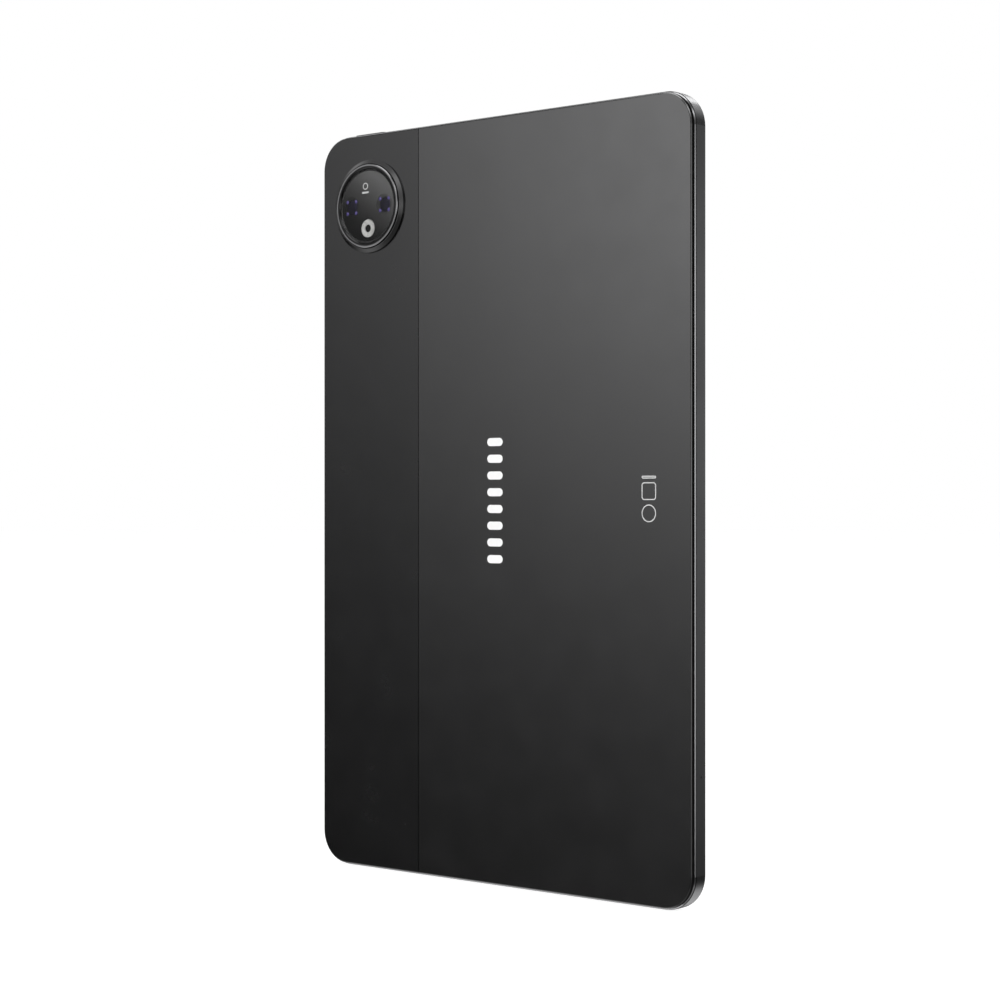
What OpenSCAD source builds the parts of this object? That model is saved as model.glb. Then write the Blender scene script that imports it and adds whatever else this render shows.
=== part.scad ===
// Slim tablet computer, standing upright on its lower short edge.
// Origin: middle of the lower edge, halfway through the thickness. The screen faces -Y, the rear
// cover faces +Y and +Z is up. Every piece is drawn flat, with x across the width, y up the height
// and z as the depth below the rear face, and then stood up by upright().

/* [Body] */
// Width over the long edges
body_w = 160.7; // [140:0.1:200]
// Height over the short edges
body_h = 256.8; // [220:0.1:320]
// Thickness from rear face to glass
body_t = 7.5; // [7.2:0.1:10]
// Corner radius of the outline
corner_r = 11.5; // [8:0.5:18]
// Thickness of the frame's outer wall
wall_t = 2.0; // [1.6:0.1:2.6]
// Width of the frame's inner shelf, which carries the glass
shelf_w = 2.4; // [2:0.1:3]

/* [Rear edge] */
// Height of the bevel on the rear covers
bevel_h = 0.3; // [0.2:0.05:0.4]
// Width of that bevel
bevel_w = 0.45; // [0.2:0.05:0.8]
// How far the covers and the seam ring stand in from the outer wall
cover_inset = 0.6; // [0.5:0.05:0.9]
// Depth at which the seam ring ends and the frame starts
seam_z = 1.44; // [1.2:0.02:1.8]
// Width of the polished chamfer on the frame
chamfer_w = 0.45; // [0.3:0.05:0.6]
// Height of that chamfer
chamfer_h = 0.56; // [0.4:0.02:0.7]
// Radius of the frame's front edge
front_r = 1.0; // [0.6:0.1:1.2]

/* [Rear covers] */
// Thickness of the rear covers
cover_t = 0.8; // [0.6:0.05:1]
// Width of the antenna cover, the strip that carries the cameras
strip_w = 45.95; // [42:0.05:60]
// Gap between the two covers
split_gap = 0.12; // [0.08:0.02:0.3]
// Width of the joggled lip under the gap
lip_w = 4.0; // [2:0.5:6]

/* [Screen] */
// Thickness of the cover glass
glass_t = 0.7; // [0.5:0.05:0.9]
// Width of the dark border round the picture
border_w = 8.5; // [7.8:0.1:14]
// Thickness of the liquid crystal panel
lcd_t = 0.6; // [0.5:0.05:0.8]
// Thickness of the light guide
guide_t = 0.5; // [0.4:0.05:0.7]
// Number of lights on the backlight strip
backlight_count = 28; // [12:2:40]

/* [Rear cameras] */
// Camera island centre, in from the long edge
island_x = 23.3; // [20:0.1:30]
// Camera island centre, down from the top edge
island_y = 25.6; // [22:0.1:40]
// Radius of the island's base ring
island_r = 16.2; // [15.5:0.1:18]
// Height of the raised rim over the rear face
island_h = 1.8; // [1.5:0.05:2.5]
// Distance of each lens, and of the flash, from the centre
lens_offset = 7.8; // [7.5:0.1:8.2]

/* [Edge controls] */
// Power button centre, in from the long edge
power_x = 20.4; // [16:0.1:30]
// Length of the power button
power_l = 14.0; // [10:0.5:18]
// Volume rocker centre, down from the top edge
volume_y = 60.0; // [40:0.5:80]
// Length of the volume rocker
volume_l = 24.0; // [18:0.5:28]
// Width of both buttons, measured through the thickness
button_w = 2.3; // [1.8:0.1:2.6]
// How far both buttons stand proud of the frame
button_proud = 0.4; // [0.3:0.05:0.6]
// Gap round each button
button_gap = 0.12; // [0.1:0.01:0.2]

/* [Card tray] */
// Tray centre, up from the lower edge
tray_y = 44.0; // [42:0.5:70]
// Width of the tray's outer face, measured through the thickness
tray_face_w = 2.2; // [1.8:0.1:2.4]
// Width of the part that slides in
tray_w = 13.4; // [13:0.1:14]
// How far the outer face reaches past that part at each end
tray_face_over = 2.0; // [1.8:0.1:2.5]
// Depth that it reaches inwards
tray_d = 30.0; // [29:0.5:34]

/* [Power and sound] */
// Width between the two battery cells
cell_gap = 2.0; // [1:0.5:4]
// Lower end of the battery, up from the lower edge
battery_low = 64.0; // [62:0.5:76]
// Upper end of the battery, down from the top edge
battery_top = 61.0; // [60:0.5:80]
// Centre of each speaker grille, from the middle
grille_x = 30.0; // [26:0.5:36]
// Holes in each speaker grille
grille_count = 12; // [6:1:14]
// Diameter of one grille hole
grille_d = 1.0; // [0.7:0.1:1.4]
// Distance from one grille hole to the next
grille_pitch = 1.8; // [1.6:0.1:1.9]
// Side microphone, up from the lower edge
mic_y = 42.2; // [36:0.1:60]

/* [Fasteners] */
// Thread diameter of the small screws
screw_d = 1.4; // [1.2:0.1:1.6]
// Head diameter of the small screws
screw_head_d = 2.6; // [2.4:0.1:3]

/* [Hidden] */
$fn = 64;

// Small clearances shared by every fit
fit = 0.05;
loose = 0.1;
past = 1; // how far a cutter runs past the piece it cuts

// Depths through the stack, from the glass down to the midplate
glass_z = body_t - glass_t;
print_t = 0.05;
print_z = glass_z - print_t;
bond_t = 0.15;
bond_z = print_z - bond_t;
lcd_z = bond_z - lcd_t;
films_t = 0.2;
films_z = lcd_z - films_t;
guide_z = films_z - guide_t;
reflector_t = 0.1;
reflector_z = guide_z - reflector_t;
tin_t = 0.2;
tin_z = reflector_z - tin_t;
foam_t = 0.15;
foam_z = tin_z - foam_t;
midplate_t = 0.5;
midplate_z = foam_z - midplate_t;
shelf_top = print_z - bond_t;
front_drop = 0.15;
front_z = body_t - front_drop;           // front face of the frame

// Outlines, as distances in from the outer wall
ring_in = 1.3;                           // inner edge of the frame's front lip
bezel_t = 0.35;
glass_in = ring_in + bezel_t + fit;
glass_edge = 0.2;                        // bevel round the glass
panel_in = border_w - 1.5;               // edge of the display's tray on three sides
panel_low = border_w - 0.5;              // the same on the side of the charging port
guide_in = panel_in + tin_t + fit;
guide_low = panel_low + tin_t + 1.2;
cavity_in = wall_t + fit;

// Places that several pieces share
split_x = body_w / 2 - strip_w;
island = [body_w / 2 - island_x, body_h - island_y];
port_z = midplate_z - 0.5;               // middle of the port and the buttons
power_mid = body_w / 2 - power_x;
volume_mid = body_h - volume_y;
side = body_w / 2;

cover_step = 1.1;                        // width of the covers' stepped edge

// Boards
board_t = 0.8;
main_z = midplate_z - 1.0 - board_t;     // rear face of the main board
sub_z = midplate_z - 1.5 - board_t;      // rear face of the port board
main_low = body_h - 57;
main_high = body_h - 17;
main_right = split_x + 3.6;
board_left = -side + 4.4;
screw_sites_main = [[board_left + 9.5, main_low + 3], [board_left + 9.5, main_high - 3],
                    [-8, main_low + 3], [-12, main_high - 3],
                    [main_right - 3, main_low + 3], [main_right - 3, main_high - 3]];
screw_sites_sub = [[board_left + 4, 38], [-8.4, 18], [8.4, 18], [side - 50, 29]];
screw_head_t = 0.4;

// Camera island, as heights h above the rear face, so z = -h
base_wall_h = 0.65;
base_h = 1.3;
base_top_r = island_r - 1.2;
base_bore_r = island_r - 1.35;
gasket_t = 0.3;
rim_r = base_bore_r - gasket_t - fit;
rim_bore_r = rim_r - 1.5;
lens_ledge_r = rim_bore_r - 0.7;
lens_glass_t = 0.65;
ledge_h = 1.0;
mask_t = 0.2;
mask_h = ledge_h - mask_t;
barrel_r = 3.7;
lens_r = 2.65;
flash_r = 3.25;
camera_top_h = mask_h - fit;
housing_z = cover_t + 0.1;               // where the square camera housings start
main_housing = 9.6;
second_housing = 8.6;

// Port, speakers, microphones
usb_w = 8.94;
usb_h = 3.26;
usb_shell = 0.3;
usb_in = 0.35;
usb_deep = 7.3;
speaker_l = 36;
speaker_w = 10.8;
port_tab = grille_x - speaker_l / 2 - 0.5; // half width of the port board between the speakers
mesh_t = 0.12;
mic_d = 0.6;
top_mic_x = -body_w / 2 + 20;

// Card reader
tray_t = 1.1;
tray_shift = -0.6;
seal_t = 0.3;
tray_z = midplate_z - 0.2 - tray_t - 0.15;
tray_face_t = 1.2;
tray_face_l = tray_w + 2 * tray_face_over;
reader_wall = 0.15;

// Buttons, as distances in from the outer wall
cap_back = wall_t + 0.45;
flange_t = 0.45;
flange_extra = 1.0;
switch_in = cap_back + flange_t + 0.35;
switch_t = 1.2;
flex_t = 0.15;

// ---- shared shapes -----------------------------------------------------------------------------

// Stands a flat-drawn piece up in the part's frame
module upright() {
    translate([0, body_t / 2, 0]) rotate([90, 0, 0]) children();
}

// Box between a low and a high corner
module block(low, high) {
    translate(low) cube(high - low);
}

// Flat rounded rectangle with its centre at the middle of the tablet's outline
module outline(inset, low_inset) {
    r = max(corner_r - inset, 0.4);
    w = body_w - 2 * inset;
    h = body_h - inset - low_inset;
    translate([0, (body_h - inset + low_inset) / 2]) rounded(w, h, r);
}

// Rounded rectangle about the origin
module rounded(w, h, r) {
    square([w - 2 * r, h], center = true);
    square([w, h - 2 * r], center = true);
    for (x = [-1, 1], y = [-1, 1]) translate([x * (w / 2 - r), y * (h / 2 - r)]) circle(r);
}

// Flat sheet that follows the tablet's outline, between two depths
module sheet(inset, z0, z1) {
    translate([0, 0, z0]) linear_extrude(z1 - z0) outline(inset, inset);
}

// The same, with its own inset on the side of the charging port
module panel(inset, low_inset, z0, z1) {
    translate([0, 0, z0]) linear_extrude(z1 - z0) outline(inset, low_inset);
}

// Block with rounded corners in plan, given by its middle and its size
module slab(middle, size, r, z0, z1) {
    translate([middle[0], middle[1], z0]) linear_extrude(z1 - z0) rounded(size[0], size[1], r);
}

// Sweeps a section round the tablet's outline: section x is the distance in from the outer
// wall and section y is the depth
module edge_sweep() {
    long = body_h - 2 * corner_r;
    short = body_w - 2 * corner_r;
    translate([-short / 2, 0, 0]) edge_run(short) children();
    translate([side, corner_r, 0]) rotate([0, 0, 90]) edge_run(long) children();
    translate([short / 2, body_h, 0]) rotate([0, 0, 180]) edge_run(short) children();
    translate([-side, body_h - corner_r, 0]) rotate([0, 0, 270]) edge_run(long) children();
    for (i = [0 : 3]) {
        x = (i == 0 || i == 3) ? short / 2 : -short / 2;
        y = (i < 2) ? body_h - corner_r : corner_r;
        translate([x, y, 0]) rotate([0, 0, 90 * i])
            rotate_extrude(angle = 90) translate([corner_r, 0]) mirror([1, 0]) children();
    }
}

// One straight run of that sweep, along +x
module edge_run(length) {
    rotate([90, 0, 90]) linear_extrude(length) children();
}

// Rectangle in a section, from one corner to the other
module band(p0, z0, p1, z1) {
    translate([p0, z0]) square([p1 - p0, z1 - z0]);
}

// Slot with round ends through the lower or upper wall, centred on x and z
module wall_slot(x, w, h, p0, p1, z) {
    translate([x, p0, z]) rotate([-90, 0, 0]) linear_extrude(p1 - p0) stadium(w, h);
}

// Rectangle with round ends
module stadium(w, h) {
    square([w - h, h], center = true);
    for (x = [-1, 1]) translate([x * (w - h) / 2, 0]) circle(h / 2);
}

// The same slot through the long wall at +x, with its length along y
module side_slot(y, l, h, p0, p1, z) {
    translate([side - p0, y, z]) rotate([0, -90, 0]) linear_extrude(p1 - p0)
        rotate(90) stadium(l, h);
}

// Ring or disc in plan
module disc(at, r, z0, z1) {
    translate([at[0], at[1], z0]) cylinder(r = r, h = z1 - z0);
}

module ring(at, r_in, r_out, z0, z1) {
    difference() {
        disc(at, r_out, z0, z1);
        disc(at, r_in, z0 - past, z1 + past);
    }
}

// Flat-head screw with a cross recess; the head's rear face is at z
module screw(at, z, length) {
    difference() {
        union() {
            disc(at, screw_head_d / 2, z, z + screw_head_t);
            disc(at, screw_d / 2, z, z + length);
        }
        for (a = [0, 90]) translate([at[0], at[1], z]) rotate([0, 0, a])
            cube([screw_head_d * 0.6, 0.3, screw_head_t], center = true);
    }
}

// ---- frame and covers --------------------------------------------------------------------------

module frame_section() {
    difference() {
        union() {
            polygon([[chamfer_w, seam_z], [wall_t, seam_z], [wall_t, shelf_top],
                     [ring_in, shelf_top], [ring_in, front_z], [0, front_z],
                     [0, seam_z + chamfer_h]]);
            band(wall_t - fit, midplate_z + midplate_t, wall_t + shelf_w, shelf_top);
        }
        difference() {
            band(-past, front_z - front_r, front_r, front_z + past);
            translate([front_r, front_z - front_r]) circle(front_r);
        }
    }
}

module frame() {
    shelf_z = midplate_z + midplate_t;
    color([0.30, 0.31, 0.33]) upright() difference() {
        edge_sweep() frame_section();
        // charging port
        wall_slot(0, usb_w + loose, usb_h + loose, -past, wall_t + past, port_z);
        block([-usb_w / 2 - loose, wall_t, shelf_z - past],
              [usb_w / 2 + loose, wall_t + shelf_w + past, port_z + usb_h / 2 + loose]);
        // speaker grilles
        for (x = [-1, 1], y = [0, 1]) grille_holes(x * grille_x, y);
        // microphones
        translate([-side - past, mic_y, port_z + 0.5]) rotate([0, 90, 0])
            cylinder(d = mic_d, h = wall_t + 2 * past);
        translate([top_mic_x, body_h - wall_t - past, port_z]) rotate([-90, 0, 0])
            cylinder(d = mic_d, h = wall_t + 2 * past);
        // power button
        translate([0, body_h, 0]) mirror([0, 1, 0])
            wall_slot(power_mid, power_l + 2 * button_gap, button_w + 2 * button_gap,
                      -past, wall_t + past, port_z);
        block([power_mid - power_l / 2 - 2, body_h - wall_t - shelf_w - past, shelf_z - past],
              [power_mid + power_l / 2 + 2, body_h - wall_t, port_z + button_w / 2 + loose]);
        // volume rocker
        side_slot(volume_mid, volume_l + 2 * button_gap, button_w + 2 * button_gap,
                  -past, wall_t + past, port_z);
        block([side - wall_t - shelf_w - past, volume_mid - volume_l / 2 - 2, shelf_z - past],
              [side - wall_t, volume_mid + volume_l / 2 + 2, port_z + button_w / 2 + loose]);
        // card tray, its seal and the eject pin
        side_slot(tray_y, tray_face_l + loose, tray_face_w + loose,
                  -past, tray_face_t + fit, port_z);
        tray_throat(loose);
        translate([side + past, tray_y + eject_y(), port_z]) rotate([0, -90, 0])
            cylinder(d = 1.1, h = wall_t + 2 * past);
        // front camera and light sensor
        block([side - wall_t - shelf_w - past, front_camera_y - 4, shelf_z - past],
              [side - 2.6, front_camera_y + 15, shelf_top - 0.4]);
        disc([front_camera_x, front_camera_y], 1.9, shelf_z, shelf_top + past);
        disc([front_camera_x, front_camera_y + 10], 0.9, shelf_z, shelf_top + past);
        // threads for the midplate screws
        for (s = midplate_sites()) disc(s, screw_d / 2, shelf_z - past, shelf_z + 1.2);
    }
}

front_camera_x = body_w / 2 - 5.0;
front_camera_y = body_h / 2;

function eject_y() = tray_face_l / 2 - 1.7;

// Row of round sound holes; end is 0 for the lower edge and 1 for the upper one
module grille_holes(x, end) {
    y = end == 0 ? -past : body_h - wall_t - past;
    for (i = [0 : grille_count - 1])
        translate([x + (i - (grille_count - 1) / 2) * grille_pitch, y, port_z - 0.1])
            rotate([-90, 0, 0]) cylinder(d = grille_d, h = wall_t + 2 * past);
}

// Opening behind the tray's face, which its sliding part and its seal pass with a gap
module tray_throat(gap) {
    y = tray_y + tray_shift;
    block([side - wall_t - past, y - tray_w / 2 - seal_t - gap, tray_z - seal_t / 2 - gap],
          [side - tray_face_t + fit, y + tray_w / 2 + seal_t + gap, tray_z + tray_t + seal_t / 2 + gap]);
}

// One sheet that both covers are cut from, with its bevel and its stepped edge
module cover_blank() {
    difference() {
        sheet(cover_inset, 0, cover_t);
        edge_sweep() polygon([[cover_inset - past, -past], [cover_inset + bevel_w + past, -past],
                              [cover_inset + bevel_w, 0], [cover_inset, bevel_h],
                              [cover_inset - past, bevel_h]]);
        edge_sweep() band(cover_inset - past, bevel_h, cover_inset + cover_step, cover_t + past);
    }
}

module rear_cover() {
    groove = 0.12;
    color([0.36, 0.37, 0.39]) upright() {
        difference() {
            cover_blank();
            block([split_x - split_gap / 2, -past, -past], [side + past, body_h + past, cover_t + past]);
            translate([split_x - split_gap / 2, 0, 0]) rotate([-90, 0, 0])
                linear_extrude(body_h) polygon([[0, past], [-groove, past], [-groove, 0],
                                                [0, -groove]]);
        }
        // lip that the antenna cover is bonded to
        difference() {
            block([split_x - lip_w / 2, 3, cover_t], [split_x + lip_w, body_h - 3, cover_t + 0.3]);
            disc(island, island_r + 0.4, cover_t - past, cover_t + past);
        }
    }
}

module antenna_cover() {
    color([0.27, 0.28, 0.30]) upright() difference() {
        cover_blank();
        block([-side - past, -past, -past], [split_x + split_gap / 2, body_h + past, cover_t + past]);
        disc(island, base_bore_r + 0.45 + fit, -past, cover_t + past);
    }
}

// Black moulded ring that shows as a dark line between covers and frame
module rear_seam_ring() {
    step = cover_inset + cover_step - fit;
    color([0.03, 0.03, 0.035]) upright() edge_sweep() polygon([
        [cover_inset, bevel_h], [step, bevel_h], [step, cover_t], [wall_t, cover_t],
        [wall_t, seam_z], [cover_inset, seam_z]]);
}

// ---- screen ------------------------------------------------------------------------------------

module front_bezel_ring() {
    color([0.03, 0.03, 0.03]) upright() edge_sweep()
        band(ring_in, shelf_top, ring_in + bezel_t, front_z + 0.05);
}

module cover_glass() {
    color([0.02, 0.02, 0.025]) upright() difference() {
        sheet(glass_in, glass_z, body_t);
        edge_sweep() polygon([[glass_in - past, body_t + past],
                              [glass_in + glass_edge + past, body_t + past],
                              [glass_in - past, body_t - glass_edge - past]]);
    }
}

// Printed black border behind the glass, with the picture and the front camera left clear
module glass_border_print() {
    color([0.01, 0.01, 0.01]) upright() difference() {
        sheet(glass_in + loose, print_z, glass_z);
        panel(border_w, border_w, print_z - past, glass_z + past);
        disc([front_camera_x, front_camera_y], 1.3, print_z - past, glass_z + past);
        disc([front_camera_x, front_camera_y + 10], 0.8, print_z - past, glass_z + past);
    }
}

module display_adhesive() {
    color([0.05, 0.05, 0.05]) upright() edge_sweep()
        band(glass_in + loose, shelf_top, glass_in + 0.9, print_z);
}

module touch_sensor() {
    color([0.25, 0.27, 0.3]) upright() panel(panel_in + 0.2, panel_low + 0.2, bond_z, print_z);
}

module lcd_panel() {
    color([0.05, 0.06, 0.08]) upright() panel(panel_in, panel_low, lcd_z, bond_z);
}

module optical_films() {
    color([0.85, 0.86, 0.88]) upright() panel(guide_in, panel_low + tin_t + fit, films_z, lcd_z);
}

module light_guide() {
    color([0.8, 0.85, 0.9]) upright() panel(guide_in, guide_low, guide_z, films_z);
}

module reflector() {
    color([0.95, 0.95, 0.97]) upright()
        panel(guide_in, panel_low + tin_t + fit, reflector_z, guide_z);
}

// Flexible strip of small lights along the lower edge of the light guide
module backlight_strip() {
    y0 = panel_low + tin_t + fit;
    span = body_w - 2 * guide_in - 14;
    color([0.9, 0.9, 0.75]) upright() {
        block([-span / 2 - 2, y0, guide_z], [span / 2 + 2, y0 + 0.15, films_z - fit]);
        for (i = [0 : backlight_count - 1]) {
            x = -span / 2 + i * span / (backlight_count - 1);
            block([x - 1.2, y0 + 0.15, guide_z], [x + 1.2, guide_low - fit, films_z - fit]);
        }
    }
}

// Folded steel tray that holds the display's layers
module display_tray() {
    color([0.75, 0.76, 0.78]) upright() difference() {
        panel(panel_in, panel_low, tin_z, lcd_z);
        panel(panel_in + tin_t, panel_low + tin_t, reflector_z, lcd_z + past);
    }
}

module display_foam() {
    color([0.08, 0.08, 0.08]) upright() difference() {
        panel(panel_in + 1, panel_low + 1, foam_z, tin_z);
        panel(panel_in + 5, panel_low + 5, foam_z - past, tin_z + past);
    }
}

flex_half = 4.5;
flex_y = body_h - panel_in + 0.3;

// Ribbon from the display's upper edge, through the midplate, down to the main board
module display_flex() {
    turn_z = midplate_z - 0.2;
    color([0.75, 0.45, 0.1]) upright() {
        block([-flex_half, flex_y - 0.3, lcd_z + 0.2], [flex_half, flex_y, lcd_z + 0.2 + flex_t]);
        block([-flex_half, flex_y, turn_z], [flex_half, flex_y + flex_t, lcd_z + 0.2 + flex_t]);
        block([-flex_half, main_high - 6, turn_z], [flex_half, flex_y, turn_z + flex_t]);
    }
}

// ---- midplate ----------------------------------------------------------------------------------

// Screw sites round the rim, clear of the ports, buttons, sensors and speakers
function midplate_sites() =
    let (p = wall_t + 1.15, x = side - p, mid = body_h / 2, end = grille_x + speaker_l / 2 + 4)
    concat([for (s = [-1, 1], y = [27, mid - 45, mid + 35, volume_mid + volume_l / 2 + 12]) [s * x, y]],
           [[-end, p], [end, p], [-end, body_h - p], [8.6, body_h - p]]);

module midplate() {
    z = midplate_z;
    top = midplate_z + midplate_t;
    color([0.62, 0.63, 0.65]) upright() difference() {
        union() {
            sheet(cavity_in, z, top);
            for (s = screw_sites_main) disc(s, 1.9, main_z + board_t, z + fit);
            for (s = screw_sites_sub) disc(s, 1.9, sub_z + board_t, z + fit);
            for (s = camera_sites()) disc(s, 1.6, z - 0.8, z + fit);
        }
        for (s = screw_sites_main) disc(s, screw_d / 2, main_z, top + past);
        for (s = screw_sites_sub) disc(s, screw_d / 2, sub_z, top + past);
        for (s = camera_sites()) disc(s, screw_d / 2, z - past, top + past);
        for (s = midplate_sites()) disc(s, screw_d / 2 + fit, z - past, top + past);
        // charging port, buttons, microphone, display ribbon, front camera, light sensor
        block([-usb_w / 2 - 0.6, -past, z - past], [usb_w / 2 + 0.6, usb_in + usb_deep + 0.6, top + past]);
        block([power_mid - power_l / 2 - 2.5, body_h - switch_in - switch_t - 1.2, z - past],
              [power_mid + power_l / 2 + 2.5, body_h, top + past]);
        block([side - switch_in - switch_t - 1.2, volume_mid - volume_l / 2 - 2.5, z - past],
              [side, volume_mid + volume_l / 2 + 2.5, top + past]);
        block([-side, mic_y - 2.6, z - past], [-side + wall_t + 2, mic_y + 2.6, top + past]);
        block([-flex_half - 0.5, flex_y - 0.4, z - past], [flex_half + 0.5, flex_y + 0.6, top + past]);
        block([front_camera_x - 3.1, front_camera_y - 3.1, z - past],
              [front_camera_x + 2.7, front_camera_y + 3.1, top + past]);
    }
}

module midplate_screws() {
    color([0.2, 0.2, 0.22]) upright()
        for (s = midplate_sites()) screw_small(s, midplate_z - 0.3, 1.9);
}

// Slimmer head for the screws that sit beside the wall
module screw_small(at, z, length) {
    difference() {
        union() {
            disc(at, 1.05, z, z + 0.3);
            disc(at, screw_d / 2 - 0.01, z, z + length);
        }
        for (a = [0, 90]) translate([at[0], at[1], z]) rotate([0, 0, a])
            cube([1.4, 0.25, 0.3], center = true);
    }
}

// ---- front camera ------------------------------------------------------------------------------

module front_camera() {
    at = [front_camera_x, front_camera_y];
    color([0.08, 0.08, 0.09]) upright() {
        block([at[0] - 2.9, at[1] - 2.9, midplate_z - 1.8],
              [at[0] + 2.5, at[1] + 2.9, midplate_z + midplate_t]);
        ring(at, 0.8, 1.5, midplate_z + midplate_t, shelf_top - 0.05);
        disc(at, 0.8, midplate_z + midplate_t, shelf_top - 0.5);
    }
}

module front_camera_seal() {
    color([0.03, 0.03, 0.03]) upright()
        ring([front_camera_x, front_camera_y], 1.0, 1.55, shelf_top - 0.05, print_z);
}

module light_sensor() {
    at = [front_camera_x, front_camera_y + 10];
    base = midplate_z + midplate_t;
    color([0.1, 0.1, 0.12]) upright() {
        block([at[0] - 1.4, at[1] - 1.5, base], [at[0] + 1.4, at[1] + 1.5, base + 0.9]);
        disc(at, 0.7, base + 0.9, print_z - fit);
    }
}

// ---- rear camera island ------------------------------------------------------------------------

// Everything here turns about the island's axis; heights are above the rear face
module camera_base_ring() {
    color([0.33, 0.34, 0.36]) upright() translate([island[0], island[1], 0]) mirror([0, 0, 1])
        rotate_extrude() polygon([
            [base_bore_r, -cover_t], [base_bore_r + 0.45, -cover_t], [base_bore_r + 0.45, 0],
            [island_r, 0], [island_r, base_wall_h], [base_top_r, base_h], [base_bore_r, base_h]]);
}

module camera_gasket() {
    color([0.02, 0.02, 0.02]) upright()
        ring(island, rim_r + 0.02, base_bore_r - 0.02, -base_h + 0.15, cover_t);
}

module camera_rim() {
    outer = 0.12;
    inner = 0.3;
    color([0.22, 0.23, 0.25]) upright() translate([island[0], island[1], 0]) mirror([0, 0, 1])
        rotate_extrude() polygon([
            [lens_ledge_r, -cover_t], [rim_r, -cover_t], [rim_r, island_h - outer],
            [rim_r - outer, island_h], [rim_bore_r + inner, island_h],
            [rim_bore_r, island_h - inner], [rim_bore_r, ledge_h], [lens_ledge_r, ledge_h]]);
}

module camera_glass() {
    top = ledge_h + lens_glass_t;
    color([0.03, 0.03, 0.04]) upright() translate([island[0], island[1], 0]) mirror([0, 0, 1])
        rotate_extrude() polygon([[0, ledge_h], [rim_bore_r - fit, ledge_h],
                                  [rim_bore_r - fit, top - 0.1], [rim_bore_r - fit - 0.1, top],
                                  [0, top]]);
}

function lens_a() = [island[0] - lens_offset, island[1]];
function lens_b() = [island[0] + lens_offset, island[1]];
function flash_at() = [island[0], island[1] - lens_offset];

// Black plate behind the glass, with clear windows for the lenses and the flash
module camera_mask() {
    color([0.01, 0.01, 0.01]) upright() difference() {
        disc(island, lens_ledge_r - fit, -ledge_h, -mask_h);
        for (at = [lens_a(), lens_b()]) disc(at, barrel_r - 0.1, -ledge_h - past, past);
        disc(flash_at(), flash_r + fit, -ledge_h - past, past);
    }
}

// Camera with a round lens barrel on a square housing
module camera(at, housing) {
    half = housing / 2;
    difference() {
        union() {
            disc(at, barrel_r, -camera_top_h, housing_z + fit);
            slab(at, [housing, housing], 0.8, housing_z, midplate_z);
        }
        disc(at, lens_r, -camera_top_h - past, -camera_top_h + 1.0);
        translate([at[0], at[1], -camera_top_h]) mirror([0, 0, 1]) translate([0, 0, -0.5])
            cylinder(r1 = lens_r, r2 = lens_r + 0.5, h = 0.501);
    }
}

// Front element: a short cylinder under a shallow dome
module lens(at) {
    dome_r = 6;
    dip = dome_r - sqrt(dome_r * dome_r - (lens_r - 0.02) * (lens_r - 0.02));
    top = camera_top_h - 0.15;
    intersection() {
        disc(at, lens_r - 0.02, -top, -camera_top_h + 1.0);
        translate([at[0], at[1], -top + dome_r]) sphere(dome_r);
    }
}

module main_camera() {
    color([0.06, 0.06, 0.07]) upright() camera(lens_a(), main_housing);
}

module main_camera_lens() {
    color([0.15, 0.1, 0.3]) upright() lens(lens_a());
}

module second_camera() {
    color([0.06, 0.06, 0.07]) upright() camera(lens_b(), second_housing);
}

module second_camera_lens() {
    color([0.15, 0.1, 0.3]) upright() lens(lens_b());
}

module flash_diffuser() {
    color([0.8, 0.8, 0.78]) upright() ring(flash_at(), 1.3, flash_r, -ledge_h, -mask_h + 0.1);
}

module flash_led() {
    at = flash_at();
    color([0.15, 0.15, 0.12]) upright() {
        block([at[0] - 2, at[1] - 2, -0.2], [at[0] + 2, at[1] + 2, 0.2]);
        disc(at, 2.0, -mask_h + 0.1, -0.15);
    }
}

// Two pockets that hold the square housings, with ears for the screws
module camera_bracket() {
    z0 = midplate_z - 2.0;
    z1 = midplate_z - 0.8;
    color([0.55, 0.56, 0.58]) upright() difference() {
        union() {
            slab(island, [2 * lens_offset + main_housing + 2.4, main_housing + 2.4], 1.5, z0, z1);
            for (s = camera_sites()) disc(s, 2.2, z0, z1);
            block([island[0] - 2, island[1] - main_housing / 2 - 3.2, z0],
                  [island[0] + 2, island[1] + main_housing / 2 + 3.2, z1]);
        }
        slab(lens_a(), [main_housing + 2 * loose, main_housing + 2 * loose], 0.9, z0 - past, z1 + past);
        slab(lens_b(), [second_housing + 2 * loose, second_housing + 2 * loose], 0.9,
             z0 - past, z1 + past);
        for (s = camera_sites()) disc(s, screw_d / 2 + loose, z0 - past, z1 + past);
    }
}

function camera_sites() = [for (s = [-1, 1]) [island[0], island[1] + s * (main_housing / 2 + 4.2)]];

module camera_screws() {
    color([0.2, 0.2, 0.22]) upright()
        for (s = camera_sites()) screw(s, midplate_z - 2.0 - screw_head_t, 2.0 + screw_head_t + 0.3);
}

// ---- boards ------------------------------------------------------------------------------------

module main_board() {
    color([0.03, 0.22, 0.15]) upright() difference() {
        union() {
            block([board_left, main_low, main_z], [main_right, main_high - 8, main_z + board_t]);
            block([board_left, main_high - 9, main_z], [main_right - 12, main_high, main_z + board_t]);
            block([main_right - 7, main_high - 9, main_z], [main_right, main_high, main_z + board_t]);
        }
        for (s = screw_sites_main) disc(s, screw_d / 2 + loose, main_z - past, main_z + board_t + past);
        disc([main_right - 9.5, main_high - 8], 2.5, main_z - past, main_z + board_t + past);
    }
}

// Shielded areas of the main board: low corner and size
shields = [[[-40, main_low + 6], [30, 26]], [[-6, main_low + 6], [26, 20]]];

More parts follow.
